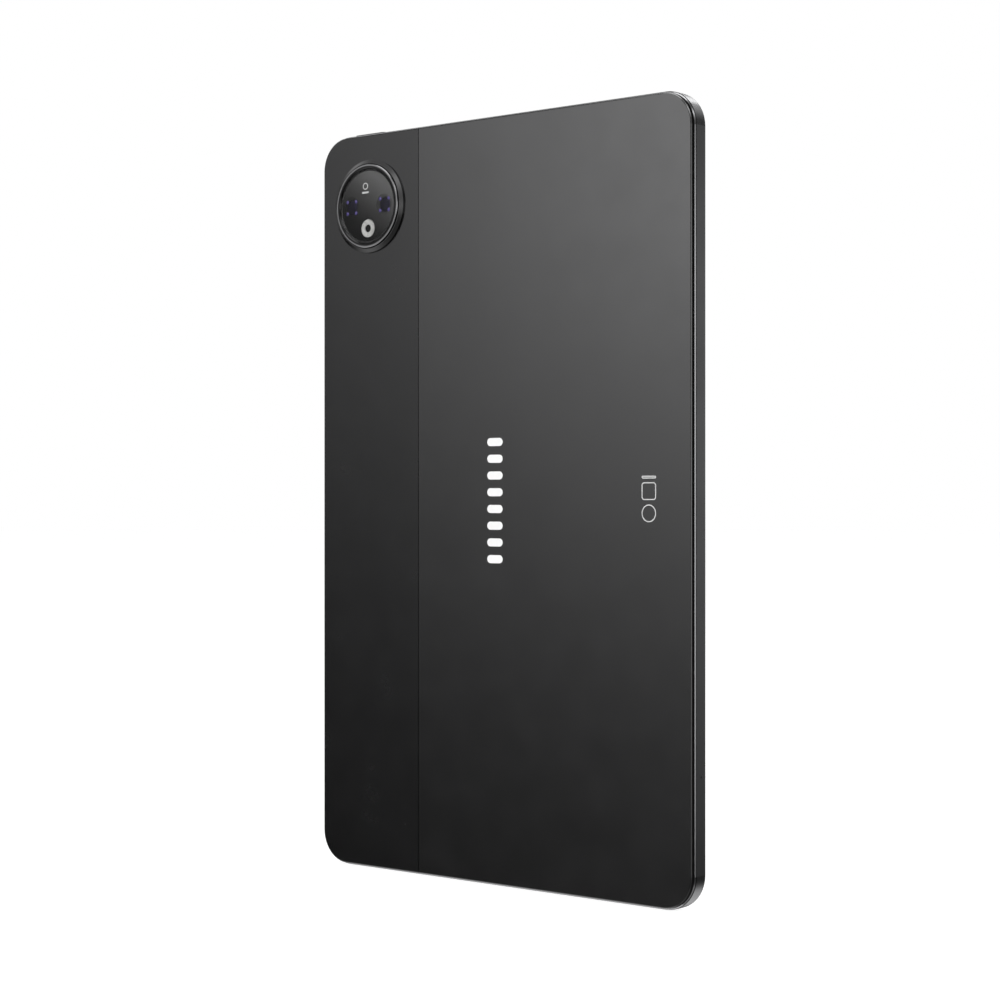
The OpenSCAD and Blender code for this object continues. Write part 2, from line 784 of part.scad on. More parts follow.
module main_chips() {
    color([0.1, 0.1, 0.11]) upright() {
        for (s = shields) {
            at = s[0];
            block([at[0] + 3, at[1] + 3, main_z - 0.9], [at[0] + 15, at[1] + 15, main_z]);
            block([at[0] + 17, at[1] + 4, main_z - 0.8], [at[0] + 23, at[1] + 13, main_z]);
        }
        block([-36, main_high - 7, main_z + board_t], [-26, main_high - 1, main_z + board_t + 0.6]);
        for (i = [0 : 5]) block([-60 + 3 * i, main_low + 12, main_z - 0.6],
                                [-58.4 + 3 * i, main_low + 14, main_z]);
    }
}

module shield_cans() {
    wall = 0.15;
    z0 = cover_t + 0.45;
    color([0.72, 0.73, 0.75]) upright() for (s = shields) difference() {
        translate([0, 0, z0]) linear_extrude(main_z - z0) translate(s[0]) square(s[1]);
        translate([0, 0, z0 + wall]) linear_extrude(main_z)
            translate([s[0][0] + wall, s[0][1] + wall]) square([s[1][0] - 2 * wall, s[1][1] - 2 * wall]);
    }
}

link_x = board_left + 0.2;
link_w = 7;
link_low = 46;
link_high = main_low + 14;
link_z = sub_z - 0.55;

// Board-to-board plugs at the ends of the two ribbons, and the battery plug
module board_connectors() {
    color([0.85, 0.8, 0.65]) upright() {
        block([link_x, link_low - 5, link_z + flex_t], [link_x + link_w, link_low - 1, sub_z]);
        block([link_x, link_high - 5, link_z + flex_t], [link_x + link_w, link_high - 1, main_z]);
        block([-flex_half, main_high - 6, main_z + board_t], [flex_half, main_high - 3, midplate_z - 0.2]);
        block([-4, main_low + 0.3, main_z - 1.0], [4, main_low + 3.3 - 2.3, main_z]);
    }
}

module heat_spreader() {
    color([0.15, 0.15, 0.16]) upright()
        slab([-14, main_low + 4], [60, 60], 4, cover_t, cover_t + 0.08);
}

// Board behind the charging port, which also carries the card reader
module sub_board() {
    color([0.03, 0.22, 0.15]) upright() difference() {
        union() {
            block([board_left, 24, sub_z], [side - 3.2, 33, sub_z + board_t]);
            block([-port_tab, 3.2, sub_z], [port_tab, 25, sub_z + board_t]);
            block([board_left, 32, sub_z], [board_left + 11, 47, sub_z + board_t]);
            block([side - tray_d - 4, 32, sub_z], [side - 3.2, tray_y + 11, sub_z + board_t]);
        }
        block([-usb_w / 2 - loose, 0, sub_z - past],
              [usb_w / 2 + loose, usb_in + usb_deep + loose, sub_z + board_t + past]);
        for (s = screw_sites_sub) disc(s, screw_d / 2 + loose, sub_z - past, sub_z + board_t + past);
    }
}

// Drawn steel shell of the charging port
module usb_receptacle() {
    y0 = usb_in;
    y1 = usb_in + usb_deep;
    foot = sub_z + board_t;
    color([0.75, 0.76, 0.78]) upright() difference() {
        union() {
            wall_slot(0, usb_w, usb_h, y0, y1, port_z);
            for (y = [4.2, 6.2]) block([-usb_w / 2 - 1, y, foot], [usb_w / 2 + 1, y + 0.9, foot + 0.2]);
        }
        wall_slot(0, usb_w - 2 * usb_shell, usb_h - 2 * usb_shell, y0 - past, y1 - 0.6, port_z);
    }
}

module usb_tongue() {
    y1 = usb_in + usb_deep - 0.6;
    color([0.05, 0.05, 0.05]) upright() {
        block([-3.35, y1 - 4.6, port_z - 0.35], [3.35, y1, port_z + 0.35]);
        block([-3.6, y1 - 1.2, port_z - 0.9], [3.6, y1, port_z + 0.9]);
    }
}

module board_screws() {
    color([0.7, 0.71, 0.73]) upright() {
        for (s = screw_sites_main) screw(s, main_z - screw_head_t, board_t + 1.0 + screw_head_t + 0.4);
        for (s = screw_sites_sub) screw(s, sub_z - screw_head_t, board_t + 1.5 + screw_head_t + 0.4);
    }
}

// Long ribbon between the two boards, beside the battery
module link_flex() {
    color([0.75, 0.45, 0.1]) upright()
        block([link_x, link_low - 5, link_z], [link_x + link_w, link_high, link_z + flex_t]);
}

// ---- battery -----------------------------------------------------------------------------------

cell_z = cover_t + 0.35;
cell_side = 14.2;
cell_w = body_w / 2 - cell_side - cell_gap / 2;
tape_t = 0.15;

module battery_cell(sign) {
    low = battery_low;
    high = body_h - battery_top;
    slab([sign * (cell_gap / 2 + cell_w / 2), (low + high) / 2], [cell_w, high - low], 1.5,
         cell_z, midplate_z - tape_t);
}

module battery_cell_a() {
    color([0.13, 0.13, 0.15]) upright() battery_cell(-1);
}

module battery_cell_b() {
    color([0.13, 0.13, 0.15]) upright() battery_cell(1);
}

module battery_board() {
    y = body_h - battery_top;
    color([0.03, 0.15, 0.3]) upright() block([-34, y, main_z], [34, y + 3.4, main_z + 0.6]);
}

// Stretch-release strips under each cell
module battery_tape() {
    color([0.9, 0.9, 0.85]) upright() for (s = [-1, 1], e = [0.25, 0.75]) {
        x = s * (cell_gap / 2 + e * cell_w);
        block([x - 5, battery_low + 4, midplate_z - tape_t], [x + 5, body_h - battery_top - 4, midplate_z]);
    }
}

// ---- sound and radio ---------------------------------------------------------------------------

module speaker(x, end) {
    low = end == 0 ? cavity_in + 0.2 : body_h - cavity_in - 0.2 - speaker_w;
    mouth = end == 0 ? low - past : low + speaker_w - 2;
    z0 = cover_t + 0.5;
    difference() {
        slab([x, low + speaker_w / 2], [speaker_l, speaker_w], 1.2, z0, midplate_z);
        block([x - 10, mouth, port_z - 0.7], [x + 10, mouth + 3, port_z + 0.3]);
        slab([x, low + speaker_w / 2], [20, 7], 2, z0 - past, z0 + 0.2);
    }
}

module speakers() {
    color([0.12, 0.12, 0.13]) upright()
        for (s = [-1, 1], end = [0, 1]) speaker(s * grille_x, end);
}

module speaker_mesh() {
    l = grille_count * grille_pitch + 0.6;
    color([0.2, 0.2, 0.2]) upright() for (s = [-1, 1], y = [cavity_in, body_h - cavity_in - mesh_t])
        block([s * grille_x - l / 2, y, port_z - 1.0], [s * grille_x + l / 2, y + mesh_t, port_z + 0.45]);
}

module microphones() {
    z = port_z + 0.5;
    color([0.8, 0.78, 0.6]) upright() {
        block([-side + wall_t, mic_y - 2, z - 0.8], [-side + wall_t + 1.4, mic_y + 2, z + 0.4]);
        block([top_mic_x - 2, body_h - wall_t - 1.4, port_z - 0.8],
              [top_mic_x + 2, body_h - wall_t, port_z + 0.4]);
    }
}

// Thin aerials on the inside of the antenna cover
module antennas() {
    color([0.8, 0.6, 0.25]) upright() {
        for (y = [30, 96, 150]) {
            block([side - 30, y, cover_t], [side - 6, y + 2, cover_t + 0.08]);
            block([side - 10, y + 2, cover_t], [side - 8, y + 16, cover_t + 0.08]);
            block([side - 22, y + 14, cover_t], [side - 10, y + 16, cover_t + 0.08]);
        }
    }
}

// ---- buttons -----------------------------------------------------------------------------------

// Three snap switches on small plates: one for power and two for volume
module button_switches() {
    color([0.78, 0.79, 0.8]) upright() {
        top = body_h - switch_in;
        block([power_mid - 2, top - switch_t, port_z - 1.1], [power_mid + 2, top, port_z + 0.9]);
        for (s = [-1, 1]) {
            y = volume_mid + s * 8;
            block([side - switch_in - switch_t, y - 2, port_z - 1.1], [side - switch_in, y + 2, port_z + 0.9]);
        }
        block([side - switch_in - switch_t, volume_mid - 0.5, port_z - 1.1],
              [side - cap_back - flange_t - 0.02, volume_mid + 0.5, port_z + 0.9]);
    }
}

// Ribbon that carries the switches, with a tail to the main board
module button_flex() {
    p = switch_in + switch_t;
    turn = 1.5; // keeps the ribbon off the frame's rounded corner
    z0 = main_z - flex_t;
    out = side - p;
    top = body_h - p;
    high = port_z + 0.9;
    color([0.75, 0.45, 0.1]) upright() {
        block([out - flex_t, volume_mid - volume_l / 2, z0], [out, volume_mid + volume_l / 2, high]);
        block([power_mid - power_l / 2, top - flex_t, z0], [power_mid + power_l / 2, top, high]);
        block([out - turn - 1.8, volume_mid - 2, z0], [out - turn, top - turn, main_z]);
        block([power_mid - 2, top - turn - 1.8, z0], [out - turn, top - turn, main_z]);
        block([out - turn - 1.8, volume_mid - 2, z0], [out, volume_mid + 2, main_z]);
        block([power_mid - 2, top - turn - 1.8, z0], [power_mid + 2, top, main_z]);
        block([main_right - 5, main_low + 7, z0], [out - turn, main_low + 10.5, main_z]);
    }
}

// Button with a long flange that keeps it in its slot
module power_button() {
    cap = cap_back + button_proud;
    color([0.33, 0.34, 0.36]) upright() {
        translate([power_mid, body_h + button_proud, port_z]) rotate([90, 0, 0])
            linear_extrude(cap) stadium(power_l, button_w);
        block([power_mid - power_l / 2 - flange_extra, body_h - cap_back - flange_t,
               port_z - button_w / 2],
              [power_mid + power_l / 2 + flange_extra, body_h - cap_back, port_z + button_w / 2]);
    }
}

module volume_rocker() {
    cap = cap_back + button_proud;
    color([0.33, 0.34, 0.36]) upright() {
        side_slot(volume_mid, volume_l, button_w, -button_proud, cap_back, port_z);
        block([side - cap_back - flange_t, volume_mid - volume_l / 2 - flange_extra,
               port_z - button_w / 2],
              [side - cap_back, volume_mid + volume_l / 2 + flange_extra, port_z + button_w / 2]);
    }
}

// ---- card tray ---------------------------------------------------------------------------------

module card_tray() {
    y = tray_y + tray_shift;
    x1 = side - tray_face_t;
    x0 = side - tray_d;
    mid = tray_z + tray_t / 2;
    color([0.33, 0.34, 0.36]) upright() difference() {
        union() {
            side_slot(tray_y, tray_face_l, tray_face_w, 0, tray_face_t, port_z);
            block([x0, y - tray_w / 2, tray_z], [x1 + fit, y + tray_w / 2, tray_z + tray_t]);
        }
        // memory card pocket, then the smaller card's pocket, each with a ledge
        block([x0 + 12.2, y - 5.55, tray_z - past], [x0 + 27.3, y + 5.55, mid]);
        block([x0 + 13, y - 4.8, tray_z - past], [x0 + 26.4, y + 4.8, tray_z + tray_t + past]);
        block([x0 + 1.0, y - 6.2, tray_z - past], [x0 + 9.9, y + 6.2, mid]);
        block([x0 + 1.7, y - 5.4, tray_z - past], [x0 + 9.2, y + 5.4, tray_z + tray_t + past]);
        translate([side + past, tray_y + eject_y(), port_z]) rotate([0, -90, 0])
            cylinder(d = 0.9, h = wall_t + 2 * past);
    }
}

// Soft ring that closes the slot behind the tray's face
module card_tray_seal() {
    y = tray_y + tray_shift;
    x1 = side - tray_face_t - fit;
    color([0.5, 0.08, 0.06]) upright() difference() {
        block([x1 - 0.6, y - tray_w / 2 - seal_t, tray_z - seal_t / 2],
              [x1, y + tray_w / 2 + seal_t, tray_z + tray_t + seal_t / 2]);
        block([x1 - 0.6 - past, y - tray_w / 2, tray_z], [x1 + past, y + tray_w / 2, tray_z + tray_t]);
    }
}

// Thin metal cage on the board, open towards the slot
module card_reader() {
    y = tray_y + tray_shift;
    gap = loose;
    x0 = side - tray_d - 0.8;
    x1 = side - cavity_in - 0.05;
    low = y - tray_w / 2 - gap;
    high = y + tray_w / 2 + gap;
    color([0.72, 0.73, 0.75]) upright() difference() {
        block([x0, low - reader_wall, sub_z + board_t],
              [x1, high + reader_wall, tray_z + tray_t + 0.05 + reader_wall]);
        block([x0 + 0.4, low, tray_z - 0.05], [x1 + past, high, tray_z + tray_t + 0.05]);
    }
}

// ---- nodes -------------------------------------------------------------------------------------

frame();
rear_cover();
antenna_cover();
rear_seam_ring();
front_bezel_ring();
cover_glass();
glass_border_print();
display_adhesive();
touch_sensor();
lcd_panel();
optical_films();
light_guide();
reflector();
backlight_strip();
display_tray();
display_foam();
display_flex();
midplate();
midplate_screws();
front_camera();
front_camera_seal();
light_sensor();
camera_base_ring();
camera_gasket();
camera_rim();
camera_glass();
camera_mask();
main_camera();
main_camera_lens();
second_camera();
second_camera_lens();
flash_diffuser();
flash_led();
camera_bracket();
camera_screws();
main_board();
main_chips();
shield_cans();
board_connectors();
heat_spreader();
sub_board();
usb_receptacle();
usb_tongue();
board_screws();
link_flex();
battery_cell_a();
battery_cell_b();
battery_board();
battery_tape();
speakers();
speaker_mesh();
microphones();
antennas();
button_switches();
button_flex();
power_button();
volume_rocker();
card_tray();
card_tray_seal();
card_reader();
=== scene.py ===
"""Looks of a slim tablet computer with a two-tone metal back and a round camera island.

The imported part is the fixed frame. Each sub-assembly is a class of its own: it dresses the frame's
nodes with procedural finishes, and adds the fine pieces that the frame leaves out, such as the lens
stacks, the flash ribs, the port contacts and the back print. The studio comes last.
"""

import logging
import math
from dataclasses import dataclass, field, replace
from enum import Enum

import bmesh
import bpy
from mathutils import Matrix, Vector


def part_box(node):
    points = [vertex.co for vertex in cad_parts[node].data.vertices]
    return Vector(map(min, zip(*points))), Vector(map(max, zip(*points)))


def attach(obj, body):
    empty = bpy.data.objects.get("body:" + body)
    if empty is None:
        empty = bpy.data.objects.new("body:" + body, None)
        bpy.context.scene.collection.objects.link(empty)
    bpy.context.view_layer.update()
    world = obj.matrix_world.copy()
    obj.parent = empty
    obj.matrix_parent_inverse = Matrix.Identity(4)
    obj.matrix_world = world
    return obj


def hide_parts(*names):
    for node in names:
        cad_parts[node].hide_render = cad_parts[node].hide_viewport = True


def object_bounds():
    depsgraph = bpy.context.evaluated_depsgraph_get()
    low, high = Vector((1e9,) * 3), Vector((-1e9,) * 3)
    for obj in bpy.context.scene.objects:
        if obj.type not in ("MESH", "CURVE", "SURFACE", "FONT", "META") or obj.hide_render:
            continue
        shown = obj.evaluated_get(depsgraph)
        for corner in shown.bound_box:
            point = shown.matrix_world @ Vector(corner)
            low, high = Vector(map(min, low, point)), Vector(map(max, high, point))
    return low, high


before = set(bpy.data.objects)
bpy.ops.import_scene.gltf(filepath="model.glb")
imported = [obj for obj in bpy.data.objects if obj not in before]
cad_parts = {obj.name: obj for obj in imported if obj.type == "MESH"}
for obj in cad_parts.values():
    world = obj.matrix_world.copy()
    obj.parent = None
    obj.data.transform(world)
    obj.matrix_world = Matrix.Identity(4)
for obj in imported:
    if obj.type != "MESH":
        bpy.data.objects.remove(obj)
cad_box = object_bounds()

LOG = logging.getLogger("tablet")
MM = 0.001
Colour = tuple[float, float, float]
Point = tuple[float, float, float]
Loop = list[tuple[float, float]]
Stops = tuple[tuple[float, float], ...]
Socket = bpy.types.NodeSocket

# Middle of the camera island, and how far the back stands from the part's middle
ISLAND_X = 57.05 * MM
ISLAND_Z = 231.2 * MM
BACK = 3.75 * MM


# ---- node wiring ---------------------------------------------------------------------------------


class Wiring:
    """Adds and links the nodes of one node tree."""

    def __init__(self, tree: bpy.types.NodeTree) -> None:
        """Keeps the tree that nodes are added to."""
        self.tree = tree

    def add(self, kind: str, props: dict | None = None, sockets: dict | None = None) -> bpy.types.Node:
        """Adds a node, sets its properties and fills its inputs.

        Args:
            kind: The node's type name.
            props: Property names and their values.
            sockets: Input names or positions, each with a value or an output to link.

        Returns:
            The new node.
        """
        node = self.tree.nodes.new(kind)
        for key, value in (props or {}).items():
            setattr(node, key, value)
        for key, value in (sockets or {}).items():
            if isinstance(value, Socket):
                self.tree.links.new(value, node.inputs[key])
            else:
                node.inputs[key].default_value = value
        return node

    def math(self, operation: str, *values: object) -> Socket:
        """Adds a Math node and returns its result.

        Args:
            operation: The Math node's operation.
            values: Numbers or outputs, in the node's order.

        Returns:
            The result's output.
        """
        return self.add("ShaderNodeMath", {"operation": operation}, dict(enumerate(values))).outputs[0]

    def span(self, value: Socket, low: float, high: float, to_low: float, to_high: float,
             smooth: bool = False) -> Socket:
        """Maps one range of numbers to another, clamped.

        Args:
            value: The number to map.
            low: Start of its range.
            high: End of its range.
            to_low: What the start becomes.
            to_high: What the end becomes.
            smooth: True for soft ends.

        Returns:
            The mapped number's output.
        """
        kind = "SMOOTHSTEP" if smooth else "LINEAR"
        node = self.add("ShaderNodeMapRange", {"interpolation_type": kind, "clamp": True},
                        {0: value, 1: low, 2: high, 3: to_low, 4: to_high})
        return node.outputs[0]

    def blend(self, factor: Socket, first: object, second: object) -> Socket:
        """Mixes two colours, each a value or an output.

        Args:
            factor: 0 for the first colour, 1 for the second.
            first: The first colour.
            second: The second colour.

        Returns:
            The mixed colour's output.
        """
        node = self.add("ShaderNodeMix", {"data_type": "RGBA"}, {0: factor})
        for position, colour in ((6, first), (7, second)):
            if isinstance(colour, Socket):
                self.tree.links.new(colour, node.inputs[position])
            else:
                node.inputs[position].default_value = (*colour, 1.0)
        return node.outputs[2]

    def radius(self, place: Socket, centre: Point) -> Socket:
        """Measures how far a point is from an axis that runs along Y.

        Args:
            place: The point.
            centre: Any point of the axis.

        Returns:
            The distance's output.
        """
        offset = self.add("ShaderNodeVectorMath", {"operation": "SUBTRACT"}, {0: place, 1: centre})
        flat = self.add("ShaderNodeVectorMath", {"operation": "MULTIPLY"}, {
            0: offset.outputs[0], 1: (1.0, 0.0, 1.0)})
        length = self.add("ShaderNodeVectorMath", {"operation": "LENGTH"}, {0: flat.outputs[0]})
        return length.outputs["Value"]

    def axis(self, vector: Socket, name: str) -> Socket:
        """Takes X, Y or Z out of a vector."""
        return self.add("ShaderNodeSeparateXYZ", sockets={0: vector}).outputs[name]


# ---- finishes ------------------------------------------------------------------------------------


class Relief(Enum):
    """How a surface is textured, close up."""

    BLASTED = "blasted"
    BRUSHED = "brushed"
    MOULDED = "moulded"
    WOVEN = "woven"
    SMOOTH = "smooth"


@dataclass(frozen=True)
class Finish:
    """A surface finish with cloudy tone, uneven gloss and fine relief. Sizes are in metres."""

    name: str
    colour: Colour
    metallic: float = 0.0
    roughness: float = 0.5
    relief: Relief = Relief.BLASTED
    grain: float = 0.00025
    depth: float = 0.000004
    patch: float = 0.03
    tone_spread: float = 0.05
    gloss_spread: float = 0.04
    ior: float = 1.5
    coat: float = 0.0
    coat_roughness: float = 0.05
    transmission: float = 0.0
    tint: Colour = (1.0, 1.0, 1.0)

    def material(self) -> bpy.types.Material:
        """Builds the finish's material, or finds it if it was built before.

        Returns:
            The material.
        """
        label = "finish_" + self.name
        found = bpy.data.materials.get(label)
        if found is not None:
            return found
        made = bpy.data.materials.new(label)
        made.use_nodes = True
        made.diffuse_color = (*self.colour, 1.0)
        made.node_tree.nodes.clear()
        wires = Wiring(made.node_tree)
        place = wires.add("ShaderNodeTexCoord").outputs["Object"]
        shader = wires.add("ShaderNodeBsdfPrincipled", sockets={
            "Base Color": self.tone(wires, place),
            "Metallic": self.metallic,
            "Roughness": self.gloss(wires, place),
            "IOR": self.ior,
            "Specular Tint": (*self.tint, 1.0),
            "Coat Weight": self.coat,
            "Coat Roughness": self.coat_roughness,
            "Transmission Weight": self.transmission,
        })
        if self.relief is not Relief.SMOOTH:
            bump = wires.add("ShaderNodeBump", sockets={
                "Strength": self.relief_strength(wires, place),
                "Distance": self.depth,
                "Height": self.relief_height(wires, place),
            })
            wires.tree.links.new(bump.outputs[0], shader.inputs["Normal"])
        wires.add("ShaderNodeOutputMaterial", sockets={"Surface": shader.outputs[0]})
        return made

    def clouds(self, wires: Wiring, place: Socket, size: float) -> Socket:
        """Adds soft noise of one feature size and returns its value."""
        return wires.add("ShaderNodeTexNoise", sockets={
            "Vector": place, "Scale": 1.0 / size, "Detail": 3.0, "Roughness": 0.55}).outputs[0]

    def tone(self, wires: Wiring, place: Socket) -> Socket:
        """Returns the base colour, with its cloudy variation.

        Args:
            wires: The material's wiring.
            place: The point on the object.

        Returns:
            The colour's output.
        """
        dark = tuple(channel * (1.0 - self.tone_spread) for channel in self.colour)
        light = tuple(min(1.0, channel * (1.0 + self.tone_spread)) for channel in self.colour)
        factor = wires.span(self.clouds(wires, place, self.patch), 0.3, 0.7, 0.0, 1.0)
        return wires.blend(factor, dark, light)

    def gloss(self, wires: Wiring, place: Socket) -> Socket:
        """Returns the roughness, with its uneven patches.

        Args:
            wires: The material's wiring.
            place: The point on the object.

        Returns:
            The roughness's output.
        """
        cloud = self.clouds(wires, place, self.patch * 0.4)
        low = max(0.0, self.roughness - self.gloss_spread)
        return wires.span(cloud, 0.3, 0.7, low, min(1.0, self.roughness + self.gloss_spread))

    def relief_strength(self, wires: Wiring, place: Socket) -> object:
        """Returns how strongly the relief shows."""
        return 0.5

    def relief_height(self, wires: Wiring, place: Socket) -> Socket:
        """Builds the relief's height for its kind.

        Args:
            wires: The material's wiring.
            place: The point on the object.

        Returns:
            The height's output.
        """
        if self.relief is Relief.MOULDED:
            return wires.add("ShaderNodeTexVoronoi", {"feature": "SMOOTH_F1"}, {
                "Vector": place, "Scale": 1.0 / self.grain}).outputs["Distance"]
        if self.relief is Relief.BRUSHED:
            stretched = wires.add("ShaderNodeMapping", sockets={
                "Vector": place, "Scale": (0.04 / self.grain, 1.0 / self.grain, 1.0 / self.grain)})
            return wires.add("ShaderNodeTexNoise", sockets={
                "Vector": stretched.outputs[0], "Scale": 1.0, "Detail": 2.0}).outputs[0]
        if self.relief is Relief.WOVEN:
            warp = wires.math("SINE", wires.math("MULTIPLY", wires.axis(place, "X"), math.tau / self.grain))
            weft = wires.math("SINE", wires.math("MULTIPLY", wires.axis(place, "Y"), math.tau / self.grain))
            return wires.math("MULTIPLY", warp, weft)
        return self.clouds(wires, place, self.grain)


@dataclass(frozen=True)
class EdgedMetal(Finish):
    """Blasted metal with one machined band, between two heights above the middle of the part.

    A thin line of painted shade runs beside the band.
    """

    bright: Colour = (0.5, 0.5, 0.51)
    bright_roughness: float = 0.14
    band: tuple[float, float] = (1.98 * MM, 2.4 * MM)
    # Heights of a thin line of painted shade beside the band, and the factor that darkens it
    line: tuple[float, float] = (1.72 * MM, 1.98 * MM)
    line_shade: float = 0.22
    softness: float = 0.03 * MM

    def between(self, wires: Wiring, place: Socket, low: float, high: float) -> Socket:
        """Returns 1 between two heights and 0 outside them.

        Args:
            wires: The material's wiring.
            place: The point on the object.
            low: The lower height.
            high: The upper height.

        Returns:
            The mask's output.
        """
        height, soft = wires.axis(place, "Y"), self.softness
        rise = wires.span(height, low - soft, low + soft, 0.0, 1.0)
        return wires.math("MULTIPLY", rise, wires.span(height, high - soft, high + soft, 1.0, 0.0))

    def tone(self, wires: Wiring, place: Socket) -> Socket:
        """Returns the metal's colour, the line of painted shade and the band's own colour.

        Args:
            wires: The material's wiring.
            place: The point on the object.

        Returns:
            The colour's output.
        """
        # Painted shade: a darker copy of the metal's colour along the thin line
        shade = tuple(channel * self.line_shade for channel in self.colour)
        lined = wires.blend(self.between(wires, place, *self.line), super().tone(wires, place), shade)
        return wires.blend(self.between(wires, place, *self.band), lined, self.bright)

    def gloss(self, wires: Wiring, place: Socket) -> Socket:
        """Returns a smoother surface on the band.

        Args:
            wires: The material's wiring.
            place: The point on the object.

        Returns:
            The roughness's output.
        """
        mask, wall = self.between(wires, place, *self.band), super().gloss(wires, place)
        step = wires.math("MULTIPLY", mask, wires.math("SUBTRACT", self.bright_roughness, wall))
        return wires.math("ADD", wall, step)

    def relief_strength(self, wires: Wiring, place: Socket) -> object:
        """Returns no relief on the band."""
        return wires.span(self.between(wires, place, *self.band), 0.0, 1.0, 0.5, 0.0)


@dataclass(frozen=True)
class PaintedReflectionPrint(Finish):
    """Ink with a painted reflection: it runs from a dark to a lighter tone up the part and to one side."""

    # Painted reflection: the tone rises from low to high along Z less lean times X, up to the light colour
    low: float = 0.0
    high: float = 0.1
    lean: float = 0.0
    light: Colour = (0.1, 0.1, 0.1)

    def tone(self, wires: Wiring, place: Socket) -> Socket:
        """Returns the ink's colour with the painted reflection graded over it.

        Args:
            wires: The material's wiring.
            place: The point on the object.

        Returns:
            The colour's output.
        """
        along = wires.math("MULTIPLY_ADD", wires.axis(place, "X"), -self.lean, wires.axis(place, "Z"))
        rise = wires.span(along, self.low, self.high, 0.0, 1.0)
        return wires.blend(wires.math("MULTIPLY", rise, rise), super().tone(wires, place), self.light)


@dataclass(frozen=True)
class TurnedRim(Finish):
    """Turned ring with a polished outer land; its inner land and its wall stay dark."""

    centre: Point = (0.0, 0.0, 0.0)
    land: float = 0.01
    wall_top: float = 0.005
    polished: Colour = (0.55, 0.55, 0.56)
    softness: float = 0.02 * MM

    def tone(self, wires: Wiring, place: Socket) -> Socket:
        """Returns the dark metal with the polished land on it.

        Args:
            wires: The material's wiring.
            place: The point on the object.

        Returns:
            The colour's output.
        """
        soft = self.softness
        outside = wires.span(wires.radius(place, self.centre), self.land - soft, self.land + soft, 0.0, 1.0)
        above = wires.span(wires.axis(place, "Y"), self.wall_top - soft, self.wall_top + soft, 0.0, 1.0)
        return wires.blend(wires.math("MULTIPLY", outside, above), super().tone(wires, place), self.polished)


@dataclass(frozen=True)
class RingedGlass(Finish):
    """Coated lens glass with its aperture and element edges showing as rings."""

    centre: Point = (0.0, 0.0, 0.0)
    ring_pitch: float = 0.62 * MM
    ring: Colour = (0.012, 0.01, 0.03)

    def tone(self, wires: Wiring, place: Socket) -> Socket:
        """Returns dark glass crossed by thin lighter rings.

        Args:
            wires: The material's wiring.
            place: The point on the object.

        Returns:
            The colour's output.
        """
        radius = wires.radius(place, self.centre)
        wave = wires.math("SINE", wires.math("MULTIPLY", radius, math.tau / self.ring_pitch))
        return wires.blend(wires.span(wave, 0.55, 0.95, 0.0, 1.0), self.colour, self.ring)


@dataclass(frozen=True)
class CircuitLaminate(Finish):
    """Board laminate or ribbon with the pattern of its copper tracks under the mask."""

    track: Colour = (0.05, 0.2, 0.09)
    cell: float = 0.0016

    def tone(self, wires: Wiring, place: Socket) -> Socket:
        """Returns the laminate's colour crossed by tracks.

        Args:
            wires: The material's wiring.
            place: The point on the object.

        Returns:
            The colour's output.
        """
        cells = wires.add("ShaderNodeTexVoronoi", {"feature": "DISTANCE_TO_EDGE"}, {
            "Vector": place, "Scale": 1.0 / self.cell, "Randomness": 0.35})
        factor = wires.span(cells.outputs["Distance"], 0.06, 0.1, 1.0, 0.0)
        return wires.blend(factor, super().tone(wires, place), self.track)


@dataclass(frozen=True)
class StripedGlass(Finish):
    """Dark panel glass with its faint colour stripes, which run up the screen."""

    stripe: Colour = (0.012, 0.014, 0.02)
    pitch: float = 0.00011

    def tone(self, wires: Wiring, place: Socket) -> Socket:
        """Returns the panel's colour crossed by fine stripes."""
        across = wires.math("SINE", wires.math("MULTIPLY", wires.axis(place, "X"), math.tau / self.pitch))
        return wires.blend(wires.span(across, -1.0, 1.0, 0.0, 1.0), super().tone(wires, place), self.stripe)


# Both metals carry a thin line of painted shade beside their machined band
FRAME_METAL = EdgedMetal("frame_metal", (0.2, 0.201, 0.205), 1.0, 0.25, grain=0.00018, depth=0.000006)
COVER_METAL = EdgedMetal("cover_metal", (0.2, 0.2, 0.202), 1.0, 0.24, grain=0.00016, tone_spread=0.02,
                         gloss_spread=0.015, bright=(0.36, 0.36, 0.363), bright_roughness=0.2,
                         band=(3.4 * MM, 3.62 * MM), line=(3.62 * MM, 3.73 * MM), line_shade=0.5,
                         softness=0.01 * MM)
STRIP_FINISH = replace(COVER_METAL, name="strip_finish", colour=(0.142, 0.142, 0.144), roughness=0.26,
                       bright=(0.28, 0.28, 0.283))
BLACK_TRIM = Finish("black_trim", (0.003, 0.003, 0.003), 0.0, 0.7, Relief.MOULDED, 0.0003, ior=1.2)
SCREEN_GLASS = Finish("screen_glass", (0.96, 0.98, 1.0), 0.0, 0.02, Relief.SMOOTH, gloss_spread=0.012,
                      transmission=1.0, coat=0.15)
BLACK_PRINT = Finish("black_print", (0.004, 0.004, 0.0045), 0.0, 0.35, Relief.MOULDED, 0.00012, 0.000001)
BLACK_FOAM = Finish("black_foam", (0.012, 0.012, 0.013), 0.0, 0.95, Relief.MOULDED, 0.0005, 0.00006)
SENSOR_FILM = Finish("sensor_film", (0.01, 0.011, 0.013), 0.0, 0.12, Relief.WOVEN, 0.004, 0.000001, ior=1.6)
PANEL_GLASS = StripedGlass("panel_glass", (0.006, 0.007, 0.01), 0.0, 0.1, Relief.SMOOTH)
WHITE_FILM = Finish("white_film", (0.82, 0.82, 0.8), 0.0, 0.45, Relief.MOULDED, 0.0006, 0.000004)
CLEAR_ACRYLIC = Finish("clear_acrylic", (0.93, 0.96, 0.97), 0.0, 0.08, Relief.MOULDED, 0.0008, 0.00001,
                       ior=1.49, transmission=0.9)
